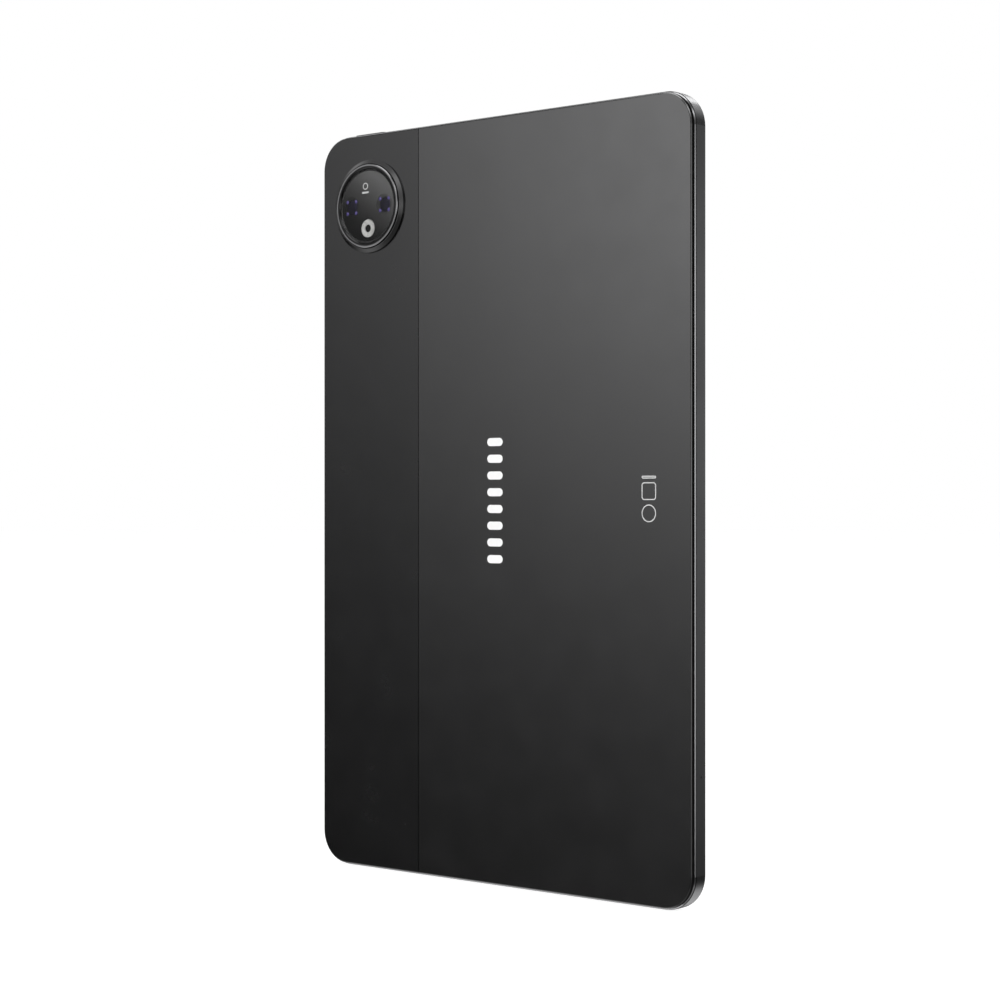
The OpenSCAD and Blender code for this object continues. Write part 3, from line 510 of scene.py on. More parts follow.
FLEX_GOLD = CircuitLaminate("flex_gold", (0.42, 0.21, 0.04), 0.0, 0.38, Relief.SMOOTH, track=(0.6, 0.34, 0.1),
                            cell=0.0009)
TRAY_STEEL = Finish("tray_steel", (0.55, 0.56, 0.57), 1.0, 0.32, Relief.BRUSHED, 0.0002, 0.000005)
PLATE_ALLOY = Finish("plate_alloy", (0.42, 0.43, 0.44), 1.0, 0.42, Relief.BLASTED, 0.0004, 0.00001)
SCREW_BLACK = Finish("screw_black", (0.05, 0.05, 0.055), 1.0, 0.35, Relief.BRUSHED, 0.0001, 0.000004)
SCREW_STEEL = Finish("screw_steel", (0.6, 0.6, 0.61), 1.0, 0.28, Relief.BRUSHED, 0.0001, 0.000004)
CAMERA_BLACK = Finish("camera_black", (0.008, 0.008, 0.009), 0.0, 0.5, Relief.MOULDED, 0.0002)
ISLAND_METAL = Finish("island_metal", (0.21, 0.21, 0.212), 1.0, 0.24, grain=0.00015, depth=0.000003,
                      tone_spread=0.02, gloss_spread=0.02)
RIM_METAL = TurnedRim("rim_metal", (0.07, 0.07, 0.071), 1.0, 0.2, Relief.BRUSHED, 0.00012, 0.000002,
                      centre=(ISLAND_X, 0.0, ISLAND_Z), land=13.92 * MM, wall_top=5.3 * MM)
# Painted reflection: black parts under the island's glass lighten up the island and to one side, where the
# glass would reflect
CONE_BLACK = PaintedReflectionPrint("cone_black", (0.0008, 0.0008, 0.001), 0.0, 0.6, Relief.MOULDED, 0.0002, ior=1.1,
                         low=180.0 * MM, high=207.0 * MM, lean=0.64, light=(0.075, 0.075, 0.075))
LENS_COVER_GLASS = Finish("lens_cover_glass", (1.0, 1.0, 1.0), 0.0, 0.01, Relief.SMOOTH, gloss_spread=0.004,
                          ior=1.3, transmission=1.0)
# Painted reflection on the ink under the island's glass, graded like the cones
MASK_PRINT = replace(CONE_BLACK, name="mask_print", roughness=0.5, grain=0.0001, depth=0.000001,
                     light=(0.1, 0.1, 0.1))
# Painted reflection: the violet of these beads stands for glints of light on the lens coating
PAINTED_GLINT_GLASS = Finish("painted_glint_glass", (0.07, 0.055, 0.2), 0.0, 0.12, Relief.SMOOTH, ior=1.6, coat=0.6,
                    tint=(0.7, 0.6, 1.0))
FLASH_WHITE = Finish("flash_white", (0.52, 0.52, 0.51), 0.0, 0.42, Relief.MOULDED, 0.0007, 0.00002,
                     patch=0.0012, tone_spread=0.16)
BRACKET_STEEL = Finish("bracket_steel", (0.5, 0.51, 0.52), 1.0, 0.35, Relief.BRUSHED, 0.0002, 0.000005)
BOARD_GREEN = CircuitLaminate("board_green", (0.01, 0.07, 0.035), 0.0, 0.35, Relief.MOULDED, 0.0008, 0.000006)
CHIP_BLACK = Finish("chip_black", (0.02, 0.02, 0.022), 0.0, 0.55, Relief.MOULDED, 0.00015, 0.000005)
SHIELD_STEEL = Finish("shield_steel", (0.62, 0.63, 0.64), 1.0, 0.26, Relief.BRUSHED, 0.0003, 0.000004)
CONNECTOR_CREAM = Finish("connector_cream", (0.72, 0.66, 0.5), 0.0, 0.45, Relief.MOULDED, 0.0003)
GRAPHITE = Finish("graphite", (0.07, 0.07, 0.075), 0.6, 0.45, Relief.BRUSHED, 0.0005, 0.000006)
PORT_STEEL = Finish("port_steel", (0.62, 0.62, 0.63), 1.0, 0.22, Relief.BRUSHED, 0.00015, 0.000003)
PORT_PLASTIC = Finish("port_plastic", (0.012, 0.012, 0.013), 0.0, 0.4, Relief.MOULDED, 0.0002)
CONTACT_GOLD = Finish("contact_gold", (0.85, 0.58, 0.22), 1.0, 0.2, Relief.BRUSHED, 0.0001, 0.000002)
CELL_FOIL = Finish("cell_foil", (0.5, 0.51, 0.53), 1.0, 0.4, Relief.MOULDED, 0.006, 0.00006)
SPEAKER_PLASTIC = Finish("speaker_plastic", (0.02, 0.02, 0.021), 0.0, 0.55, Relief.MOULDED, 0.0005, 0.00001)
MESH_STEEL = Finish("mesh_steel", (0.16, 0.16, 0.165), 1.0, 0.35, Relief.WOVEN, 0.0004, 0.00005)
MIC_METAL = Finish("mic_metal", (0.75, 0.68, 0.5), 1.0, 0.3, Relief.BRUSHED, 0.0002, 0.000003)
ANTENNA_COPPER = Finish("antenna_copper", (0.72, 0.36, 0.2), 1.0, 0.3, Relief.BRUSHED, 0.0002, 0.000003)
SWITCH_STEEL = Finish("switch_steel", (0.58, 0.58, 0.6), 1.0, 0.3, Relief.BRUSHED, 0.0002, 0.000003)
BUTTON_METAL = Finish("button_metal", (0.21, 0.211, 0.215), 1.0, 0.3, grain=0.00018, depth=0.000005)
TRAY_METAL = Finish("tray_metal", (0.2, 0.201, 0.205), 1.0, 0.34, grain=0.00018, depth=0.000006)
RED_SILICONE = Finish("red_silicone", (0.5, 0.03, 0.02), 0.0, 0.55, Relief.MOULDED, 0.0005)
MARK_WHITE = Finish("mark_white", (0.86, 0.86, 0.86), 0.0, 0.5, Relief.MOULDED, 0.0003, 0.000003)
MARK_GREY = Finish("mark_grey", (0.6, 0.6, 0.6), 0.0, 0.5, Relief.MOULDED, 0.0003, 0.000003)


# ---- mesh making ---------------------------------------------------------------------------------


def linked(name: str, data: bpy.types.ID) -> bpy.types.Object:
    """Makes an object of a mesh, a light or a camera, and puts it in the scene.

    Args:
        name: The object's name.
        data: What it shows.

    Returns:
        The new object.
    """
    made = bpy.data.objects.new(name, data)
    bpy.context.scene.collection.objects.link(made)
    return made


def piece_from(name: str, mesh_data: bmesh.types.BMesh, finish: Finish,
               smooth_below: float = 32.0) -> bpy.types.Object:
    """Turns built geometry into a finished piece that rides on the tablet's body.

    Args:
        name: The piece's name.
        mesh_data: Its geometry, in metres in the part's frame.
        finish: Its finish.
        smooth_below: Edges flatter than this many degrees are shaded smooth.

    Returns:
        The new object.
    """
    bmesh.ops.remove_doubles(mesh_data, verts=mesh_data.verts, dist=1e-7)
    bmesh.ops.recalc_face_normals(mesh_data, faces=mesh_data.faces)
    for face in mesh_data.faces:
        face.smooth = True
    for edge in mesh_data.edges:
        edge.smooth = len(edge.link_faces) == 2 and edge.calc_face_angle(0.0) < math.radians(smooth_below)
    mesh = bpy.data.meshes.new(name)
    mesh_data.to_mesh(mesh)
    mesh_data.free()
    made = linked(name, mesh)
    mesh.materials.append(finish.material())
    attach(made, "tablet")
    return made


def turned(profile: Loop, centre: Point, steps: int = 72) -> bmesh.types.BMesh:
    """Turns a closed outline about an axis that points out of the back.

    Args:
        profile: Radius and height pairs, in metres, round the outline.
        centre: Where the axis meets height 0.
        steps: How many facets go round.

    Returns:
        The turned shape, closed.
    """
    made = bmesh.new()
    rows = []
    for step in range(steps):
        angle = math.tau * step / steps
        rows.append([
            made.verts.new((centre[0] + radius * math.cos(angle), centre[1] + height,
                            centre[2] + radius * math.sin(angle)))
            for radius, height in profile
        ])
    for step in range(steps):
        here, after = rows[step], rows[(step + 1) % steps]
        for spot in range(len(profile)):
            follow = (spot + 1) % len(profile)
            if profile[spot][0] < 1e-9 and profile[follow][0] < 1e-9:
                continue
            made.faces.new((here[spot], here[follow], after[follow], after[spot]))
    bmesh.ops.remove_doubles(made, verts=made.verts, dist=1e-8)
    bmesh.ops.dissolve_degenerate(made, dist=1e-9, edges=made.edges)
    return made


def rounded_outline(half_x: float, half_z: float, radius: float, steps: int = 8) -> Loop:
    """Lists the points of a rounded rectangle about the origin.

    Args:
        half_x: Half its width.
        half_z: Half its height.
        radius: Its corner radius.
        steps: Segments in each corner.

    Returns:
        Points in order round the outline.
    """
    points = []
    for corner, (sign_x, sign_z) in enumerate(((1, 1), (-1, 1), (-1, -1), (1, -1))):
        for step in range(steps + 1):
            angle = math.pi / 2 * (corner + step / steps)
            points.append((sign_x * (half_x - radius) + radius * math.cos(angle),
                           sign_z * (half_z - radius) + radius * math.sin(angle)))
    return points


def stroke_frame(made: bmesh.types.BMesh, centre: Point, outer: Loop, inner: Loop, height: float) -> None:
    """Adds a closed raised outline between two loops that lie on one surface.

    Args:
        made: Geometry that it is added to.
        centre: The outline's middle, on the surface.
        outer: Outer loop's points about the middle.
        inner: Inner loop's points, as many as the outer one's.
        height: How far it stands proud.
    """
    rings = [
        [made.verts.new((centre[0] + x, centre[1] + rise, centre[2] + z)) for x, z in loop]
        for loop, rise in ((outer, 0.0), (outer, height), (inner, height), (inner, 0.0))
    ]
    count = len(outer)
    for ring, following in zip(rings, rings[1:] + rings[:1]):
        for spot in range(count):
            after = (spot + 1) % count
            made.faces.new((ring[spot], ring[after], following[after], following[spot]))


class Pattern:
    """A Geometry Nodes tree that makes one repeated shape, with named inputs for its sizes."""

    def __init__(self, name: str, finish: Finish) -> None:
        """Starts the tree.

        Args:
            name: The name of the tree and of the piece it makes.
            finish: The piece's finish.
        """
        self.name = name
        self.finish = finish
        self.tree = bpy.data.node_groups.new(name, "GeometryNodeTree")
        self.tree.interface.new_socket(name="Geometry", in_out="OUTPUT", socket_type="NodeSocketGeometry")
        self.wires = Wiring(self.tree)
        self.start = self.wires.add("NodeGroupInput")
        self.values: dict[str, object] = {}

    def size(self, name: str, value: float | int | Point) -> Socket:
        """Adds a named input.

        Args:
            name: The input's name.
            value: Its value: a length, a count or a point.

        Returns:
            The input's output inside the tree.
        """
        kinds = {int: "NodeSocketInt", float: "NodeSocketFloat", tuple: "NodeSocketVector"}
        socket = self.tree.interface.new_socket(name=name, in_out="INPUT", socket_type=kinds[type(value)])
        self.values[socket.identifier] = value
        return self.start.outputs[name]

    def piece(self, geometry: Socket) -> bpy.types.Object:
        """Ends the tree and turns its result into a plain mesh piece that rides on the tablet's body.

        Args:
            geometry: What the tree made.

        Returns:
            The finished piece.
        """
        real = self.wires.add("GeometryNodeRealizeInstances", sockets={0: geometry})
        dressed = self.wires.add("GeometryNodeSetMaterial", sockets={
            "Geometry": real.outputs[0], "Material": self.finish.material()})
        self.wires.add("NodeGroupOutput", sockets={0: dressed.outputs[0]})
        carrier = linked(self.name + "_carrier", bpy.data.meshes.new(self.name + "_carrier"))
        modifier = carrier.modifiers.new(self.name, "NODES")
        modifier.node_group = self.tree
        for identifier, value in self.values.items():
            modifier[identifier] = value
        graph = bpy.context.evaluated_depsgraph_get()
        mesh = bpy.data.meshes.new_from_object(carrier.evaluated_get(graph))
        mesh.name = self.name
        carrier.modifiers.remove(modifier)
        bpy.data.objects.remove(carrier)
        made = linked(self.name, mesh)
        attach(made, "tablet")
        return made


# ---- sub-assemblies ------------------------------------------------------------------------------


@dataclass
class SubAssembly:
    """One group of the tablet's parts: which finish each node gets, and the pieces added to them."""

    finishes: dict[str, Finish] = field(default_factory=dict)

    def dress(self) -> None:
        """Gives every node of the group its finish."""
        for node, finish in self.finishes.items():
            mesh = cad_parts[node].data
            mesh.materials.clear()
            mesh.materials.append(finish.material())
            LOG.info("dressed %s in %s", node, finish.name)

    def build(self) -> None:
        """Makes the group's added pieces, where it has any."""


@dataclass
class Housing(SubAssembly):
    """Frame, the two rear covers, the seams, the midplate, the antennas and the heat spreader."""

    finishes: dict[str, Finish] = field(default_factory=lambda: {
        "frame": FRAME_METAL, "rear_cover": COVER_METAL, "antenna_cover": STRIP_FINISH,
        "rear_seam_ring": BLACK_TRIM, "front_bezel_ring": BLACK_TRIM, "midplate": PLATE_ALLOY,
        "midplate_screws": SCREW_BLACK, "antennas": ANTENNA_COPPER, "heat_spreader": GRAPHITE})


@dataclass
class Display(SubAssembly):
    """Front glass and everything bonded behind it."""

    finishes: dict[str, Finish] = field(default_factory=lambda: {
        "cover_glass": SCREEN_GLASS, "glass_border_print": BLACK_PRINT, "display_adhesive": BLACK_FOAM,
        "touch_sensor": SENSOR_FILM, "lcd_panel": PANEL_GLASS, "optical_films": WHITE_FILM,
        "light_guide": CLEAR_ACRYLIC, "reflector": WHITE_FILM, "backlight_strip": FLEX_GOLD,
        "display_tray": TRAY_STEEL, "display_foam": BLACK_FOAM, "display_flex": FLEX_GOLD,
        "front_camera": CAMERA_BLACK, "front_camera_seal": BLACK_FOAM, "light_sensor": CAMERA_BLACK})


@dataclass
class Electronics(SubAssembly):
    """Boards, chips, shields, ribbons and battery inside the body."""

    finishes: dict[str, Finish] = field(default_factory=lambda: {
        "main_board": BOARD_GREEN, "sub_board": BOARD_GREEN, "battery_board": BOARD_GREEN,
        "main_chips": CHIP_BLACK, "shield_cans": SHIELD_STEEL, "board_connectors": CONNECTOR_CREAM,
        "board_screws": SCREW_STEEL, "link_flex": FLEX_GOLD, "battery_cell_a": CELL_FOIL,
        "battery_cell_b": CELL_FOIL, "battery_tape": WHITE_FILM})


@dataclass
class Sound(SubAssembly):
    """Speakers, the mesh behind their holes, and the microphones."""

    finishes: dict[str, Finish] = field(default_factory=lambda: {
        "speakers": SPEAKER_PLASTIC, "speaker_mesh": MESH_STEEL, "microphones": MIC_METAL})


@dataclass
class Controls(SubAssembly):
    """Power button, volume rocker, their switches and their ribbon."""

    finishes: dict[str, Finish] = field(default_factory=lambda: {
        "power_button": BUTTON_METAL, "volume_rocker": BUTTON_METAL, "button_switches": SWITCH_STEEL,
        "button_flex": FLEX_GOLD})


@dataclass
class CardSlot(SubAssembly):
    """Card tray, its seal and the reader cage."""

    finishes: dict[str, Finish] = field(default_factory=lambda: {
        "card_tray": TRAY_METAL, "card_tray_seal": RED_SILICONE, "card_reader": SHIELD_STEEL})


@dataclass
class ChargingPort(SubAssembly):
    """Port shell and tongue, with the rows of gold contacts on both faces of the tongue."""

    contacts: int = 12
    pitch: float = 0.5 * MM
    contact_width: float = 0.26 * MM
    contact_length: float = 2.9 * MM
    contact_height: float = 0.03 * MM
    tongue_half: float = 0.35 * MM
    finishes: dict[str, Finish] = field(default_factory=lambda: {
        "usb_receptacle": PORT_STEEL, "usb_tongue": PORT_PLASTIC})

    def build(self) -> None:
        """Makes the contact rows."""
        low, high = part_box("usb_tongue")
        middle = (low + high) / 2
        pattern = Pattern("port_contacts", CONTACT_GOLD)
        count = pattern.size("Contacts", self.contacts)
        pitch = pattern.size("Pitch", self.pitch)
        block = pattern.size("Contact Size", (self.contact_width, self.contact_height, self.contact_length))
        start = pattern.size("First Contact", (middle.x - (self.contacts - 1) / 2 * self.pitch,
                                               middle.y + self.tongue_half + self.contact_height / 2,
                                               low.z + 0.35 * MM + self.contact_length / 2))
        drop = pattern.size("Other Face", (0.0, -2 * self.tongue_half - self.contact_height, 0.0))
        wires = pattern.wires
        step = wires.add("ShaderNodeCombineXYZ", sockets={0: pitch})
        line = wires.add("GeometryNodeMeshLine", {"mode": "OFFSET"}, {
            "Count": count, "Start Location": start, "Offset": step.outputs[0]})
        contact = wires.add("GeometryNodeMeshCube", sockets={"Size": block})
        row = wires.add("GeometryNodeInstanceOnPoints", sockets={
            "Points": line.outputs[0], "Instance": contact.outputs[0]})
        below = wires.add("GeometryNodeTransform", sockets={"Geometry": row.outputs[0], "Translation": drop})
        both = wires.add("GeometryNodeJoinGeometry", sockets={0: row.outputs[0]})
        wires.tree.links.new(below.outputs[0], both.inputs[0])
        pattern.piece(both.outputs[0])
        LOG.info("made port_contacts")


@dataclass
class Lens:
    """Where one rear camera stands, and the name of its node."""

    name: str
    centre_x: float
    centre_z: float


@dataclass
class CameraIsland(SubAssembly):
    """Round island: base ring, rim, glass, two lens stacks and the ringed flash."""

    lenses: tuple[Lens, ...] = (Lens("main_camera", 49.25 * MM, ISLAND_Z),
                                Lens("second_camera", 64.85 * MM, ISLAND_Z))
    flash_z: float = 223.4 * MM
    lens_radius: float = 2.62 * MM
    cone_outer: float = 3.52 * MM
    bead_radius: float = 2.85 * MM
    bead_size: float = 0.64 * MM
    flash_outer: float = 3.08 * MM
    flash_inner: float = 1.36 * MM
    flash_ribs: int = 7
    finishes: dict[str, Finish] = field(default_factory=lambda: {
        "camera_base_ring": ISLAND_METAL, "camera_rim": RIM_METAL, "camera_gasket": BLACK_TRIM,
        "camera_glass": LENS_COVER_GLASS, "camera_mask": MASK_PRINT, "main_camera": CONE_BLACK,
        "second_camera": CONE_BLACK, "main_camera_lens": CAMERA_BLACK, "second_camera_lens": CAMERA_BLACK,
        "flash_diffuser": FLASH_WHITE, "flash_led": CONE_BLACK, "camera_bracket": BRACKET_STEEL,
        "camera_screws": SCREW_BLACK})

    def build(self) -> None:
        """Makes the glass, both lens stacks and the flash lens."""
        self.cover_glass()
        for lens in self.lenses:
            self.lens_glass(lens)
            self.lens_cone(lens)
            self.lens_beads(lens)
        self.flash_lens()

    def cover_glass(self) -> None:
        """Makes the island's glass with its ground edge, which stands for the plain disc.

        A film of air parts it from the ink below, so the ink shows through.
        """
        low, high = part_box("camera_glass")
        radius, under, bevel = (high.x - low.x) / 2 - 0.01 * MM, low.y + 0.02 * MM, 0.12 * MM
        top = high.y - 0.005 * MM
        outline = [(0.0, under), (radius, under), (radius, high.y - bevel), (radius - bevel, top), (0.0, top)]
        made = piece_from("camera_cover_glass", turned(outline, (ISLAND_X, 0.0, ISLAND_Z)),
                          LENS_COVER_GLASS)
        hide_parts("camera_glass")
        LOG.info("made camera_cover_glass")

    def lens_glass(self, lens: Lens) -> None:
        """Makes a lens's domed front element, which stands for the plain one.

        Args:
            lens: The lens that it is made for.
        """
        low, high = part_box(lens.name + "_lens")
        centre = (lens.centre_x, 0.0, lens.centre_z)
        finish = RingedGlass(lens.name + "_glass", (0.002, 0.002, 0.004), 0.0, 0.04, Relief.SMOOTH, ior=1.25,
                             tint=(0.6, 0.5, 1.0), centre=centre)
        edge, crown, steps = high.y - 0.28 * MM, high.y - 0.01 * MM, 12
        dome = []
        for step in range(steps + 1):
            share = step / steps
            rise = math.sin(share * math.pi / 2)
            dome.append((self.lens_radius * (1 - share), edge + (crown - edge) * rise))
        outline = [(0.0, low.y + 0.02 * MM), (self.lens_radius, low.y + 0.02 * MM), *dome]
        made = piece_from(lens.name + "_front_element", turned(outline, centre), finish)
        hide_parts(lens.name + "_lens")
        LOG.info("made %s_front_element", lens.name)

    def lens_cone(self, lens: Lens) -> None:
        """Makes the stepped black cone round a lens that keeps stray light off it.

        Args:
            lens: The lens that it is made for.
        """
        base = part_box(lens.name)[1].y
        inner, tiers = self.lens_radius + 0.06 * MM, 5
        wide = (self.cone_outer - inner) / tiers
        outline = [(self.cone_outer, base), (self.cone_outer, base + 0.2 * MM)]
        for tier in range(tiers, 0, -1):
            height = base + 0.03 * MM + 0.15 * MM * tier / tiers
            outline += [(inner + wide * tier, height), (inner + wide * (tier - 0.35), height),
                        (inner + wide * (tier - 1), height - 0.04 * MM)]
        outline.append((inner, base))
        made = piece_from(lens.name + "_cone", turned(outline, (lens.centre_x, 0.0, lens.centre_z)),
                          CONE_BLACK, 20.0)
        LOG.info("made %s_cone", lens.name)

    def lens_beads(self, lens: Lens) -> None:
        """Makes four violet beads round a lens, a painted reflection that stands for glints of light on its
        coating.

        Args:
            lens: The lens that it is made for.
        """
        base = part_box(lens.name)[1].y
        pattern = Pattern(lens.name + "_beads", PAINTED_GLINT_GLASS)
        count = pattern.size("Beads", 4)
        round_lens = pattern.size("Circle Radius", self.bead_radius)
        bead = pattern.size("Bead Radius", self.bead_size)
        seat = pattern.size("Centre", (lens.centre_x, base + 0.12 * MM, lens.centre_z))
        turn = pattern.size("Turn", (math.pi / 2, math.pi / 4, 0.0))
        flatness = pattern.size("Bead Shape", (1.0, 1.0, 0.2))
        wires = pattern.wires
        circle = wires.add("GeometryNodeMeshCircle", sockets={"Vertices": count, "Radius": round_lens})
        ball = wires.add("GeometryNodeMeshIcoSphere", sockets={"Radius": bead, "Subdivisions": 3})
        flat = wires.add("GeometryNodeTransform", sockets={"Geometry": ball.outputs[0], "Scale": flatness})
        ring = wires.add("GeometryNodeInstanceOnPoints", sockets={
            "Points": circle.outputs[0], "Instance": flat.outputs[0]})
        placed = wires.add("GeometryNodeTransform", sockets={
            "Geometry": ring.outputs[0], "Translation": seat, "Rotation": turn})
        smooth = wires.add("GeometryNodeSetShadeSmooth", sockets={"Geometry": placed.outputs[0]})
        made = pattern.piece(smooth.outputs[0])
        LOG.info("made %s_beads", lens.name)

    def flash_lens(self) -> None:
        """Makes the flash's ribbed light spreader, which stands for the plain ring."""
        low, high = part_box("flash_diffuser")
        pitch = (self.flash_outer - self.flash_inner - 0.2 * MM) / self.flash_ribs
        outline = [(self.flash_inner, low.y), (self.flash_outer, low.y)]
        outline.append((self.flash_outer, high.y - 0.06 * MM))
        for rib in range(self.flash_ribs):
            start = self.flash_outer - 0.1 * MM - rib * pitch
            outline += [(start, high.y - 0.02 * MM), (start - pitch * 0.8, high.y - 0.09 * MM)]
        outline.append((self.flash_inner, high.y - 0.03 * MM))
        made = piece_from("flash_lens", turned(outline, (ISLAND_X, 0.0, self.flash_z)), FLASH_WHITE, 20.0)
        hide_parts("flash_diffuser")
        LOG.info("made flash_lens")


@dataclass
class Outline:
    """One rounded shape that is printed as a thin line: where its middle is, and its half sizes."""

    x: float
    z: float
    half_x: float
    half_z: float
    radius: float


@dataclass
class BackPrint(SubAssembly):
    """Plain raised ink: a column of bars, a small column of outlines, and a mark under the island's glass."""

    thickness: float = 0.02 * MM
    column_width: float = 6.7 * MM
    column_height: float = 41.7 * MM
    column_z: float = 128.4 * MM
    bars: int = 8
    bar_height: float = 2.7 * MM
    small_x: float = -63.4 * MM
    small_half: float = 2.8 * MM
    small_stroke: float = 0.34 * MM
    glass_x: float = 58.2 * MM
    glass_stroke: float = 0.29 * MM
    glass_ink: float = 0.012 * MM

    def build(self) -> None:
        """Prints both columns and the small mark."""
        self.bar_column()
        self.shape_column()
        self.glass_mark()

    def bar_column(self) -> None:
        """Prints the column of round-ended bars."""
        pattern = Pattern("back_bars", MARK_WHITE)
        count = pattern.size("Bars", self.bars)
        radius = pattern.size("End Radius", self.bar_height / 2)
        height = pattern.size("Ink Thickness", self.thickness)
        reach = pattern.size("End Offset", (self.column_width - self.bar_height, 0.0, 0.0))
        pitch = (self.column_height - self.bar_height) / (self.bars - 1)
        step = pattern.size("Step", (0.0, 0.0, pitch))
        start = pattern.size("First Bar", (-(self.column_width - self.bar_height) / 2,
                                           BACK + self.thickness / 2,
                                           self.column_z - (self.bars - 1) / 2 * pitch))
        turn = pattern.size("Turn", (math.pi / 2, 0.0, 0.0))
        wires = pattern.wires
        end = wires.add("GeometryNodeMeshCylinder", sockets={
            "Vertices": 40, "Radius": radius, "Depth": height})
        flat = wires.add("GeometryNodeTransform", sockets={"Geometry": end.outputs[0], "Rotation": turn})
        other = wires.add("GeometryNodeTransform", sockets={
            "Geometry": flat.outputs[0], "Translation": reach})
        pair = wires.add("GeometryNodeJoinGeometry", sockets={0: flat.outputs[0]})
        wires.tree.links.new(other.outputs[0], pair.inputs[0])
        bar = wires.add("GeometryNodeConvexHull", sockets={0: pair.outputs[0]})
        line = wires.add("GeometryNodeMeshLine", {"mode": "OFFSET"}, {
            "Count": count, "Start Location": start, "Offset": step})
        column = wires.add("GeometryNodeInstanceOnPoints", sockets={
            "Points": line.outputs[0], "Instance": bar.outputs[0]})
        pattern.piece(column.outputs[0])
        LOG.info("made back_bars")

    def shape_column(self) -> None:
        """Prints the small ring, square and bar, all as thin outlines."""
        half, x, z = self.small_half, self.small_x, self.column_z
        self.line_work("back_shapes", BACK, self.thickness, self.small_stroke, (
            Outline(x, z - 4.0 * MM, half, half, half),
            Outline(x, z + 3.0 * MM, half, half, 1.0 * MM),
            Outline(x, z + 7.4 * MM, half, 0.45 * MM, 0.45 * MM)))

    def glass_mark(self) -> None:
        """Prints a plain ring over a bar on the ink under the island's glass."""
        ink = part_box("camera_mask")[1].y
        self.line_work("glass_mark", ink, self.glass_ink, self.glass_stroke, (
            Outline(self.glass_x, 238.2 * MM, 1.2 * MM, 1.2 * MM, 1.2 * MM),
            Outline(self.glass_x, 236.0 * MM, 1.6 * MM, 0.3 * MM, 0.3 * MM)))

    @staticmethod
    def line_work(name: str, surface: float, thickness: float, stroke: float,
                  shapes: tuple[Outline, ...]) -> None:
        """Prints rounded shapes as thin raised lines, all in one piece.

        Args:
            name: The piece's name.
            surface: Height of the surface that they lie on.
            thickness: How far the ink stands proud of it.
            stroke: Width of the lines.
            shapes: What to print.
        """
        made = bmesh.new()
        for shape in shapes:
            outer = rounded_outline(shape.half_x, shape.half_z, shape.radius)
            inner = rounded_outline(shape.half_x - stroke, shape.half_z - stroke, shape.radius - stroke)
            stroke_frame(made, (shape.x, surface, shape.z), outer, inner, thickness)
        piece_from(name, made, MARK_GREY)
        LOG.info("made %s", name)


# ---- studio --------------------------------------------------------------------------------------


@dataclass
class Viewpoint:
    """Where the camera stands, seen from the middle of the part."""

    azimuth: float = 220.08
    distance: float = 745.3 * MM
    lens: float = 80.34

    def place(self, centre: Vector) -> None:
        """Makes the scene's camera.

        Args:
            centre: The point that it looks at.
        """
        angle = math.radians(self.azimuth)
        back = Vector((math.sin(angle), -math.cos(angle), 0.0))
        data = bpy.data.cameras.new("camera")
        data.lens, data.sensor_width = self.lens, 36.0
        data.clip_start, data.clip_end = 0.01, 60.0
        camera = linked("camera", data)
        camera.location = centre + back * self.distance
        camera.rotation_mode = "QUATERNION"
        camera.rotation_quaternion = (-back).to_track_quat("-Z", "Y")
        bpy.context.scene.camera = camera
        LOG.info("placed the camera")


@dataclass
class Softbox:
    """A plain square light that faces the part; a fill light lifts dull surfaces only and casts no shadow."""

    name: str
    azimuth: float
    elevation: float
    distance: float
    size: float
    watts: float
    fill: bool = False

    def place(self, centre: Vector) -> None:
        """Hangs the light round the part.

        Args:
            centre: The point that it faces.
        """
        turn, rise = math.radians(self.azimuth), math.radians(self.elevation)
        away = Vector((math.cos(turn) * math.cos(rise), math.sin(turn) * math.cos(rise), math.sin(rise)))
        data = bpy.data.lights.new(self.name, "AREA")
        data.size, data.energy, data.use_shadow = self.size, self.watts, not self.fill
        light = linked(self.name, data)
        light.visible_glossy, light.visible_transmission = not self.fill, False
        light.location = centre + away * self.distance
        light.rotation_mode = "QUATERNION"
        light.rotation_quaternion = away.to_track_quat("Z", "Y")
        LOG.info("hung %s", self.name)


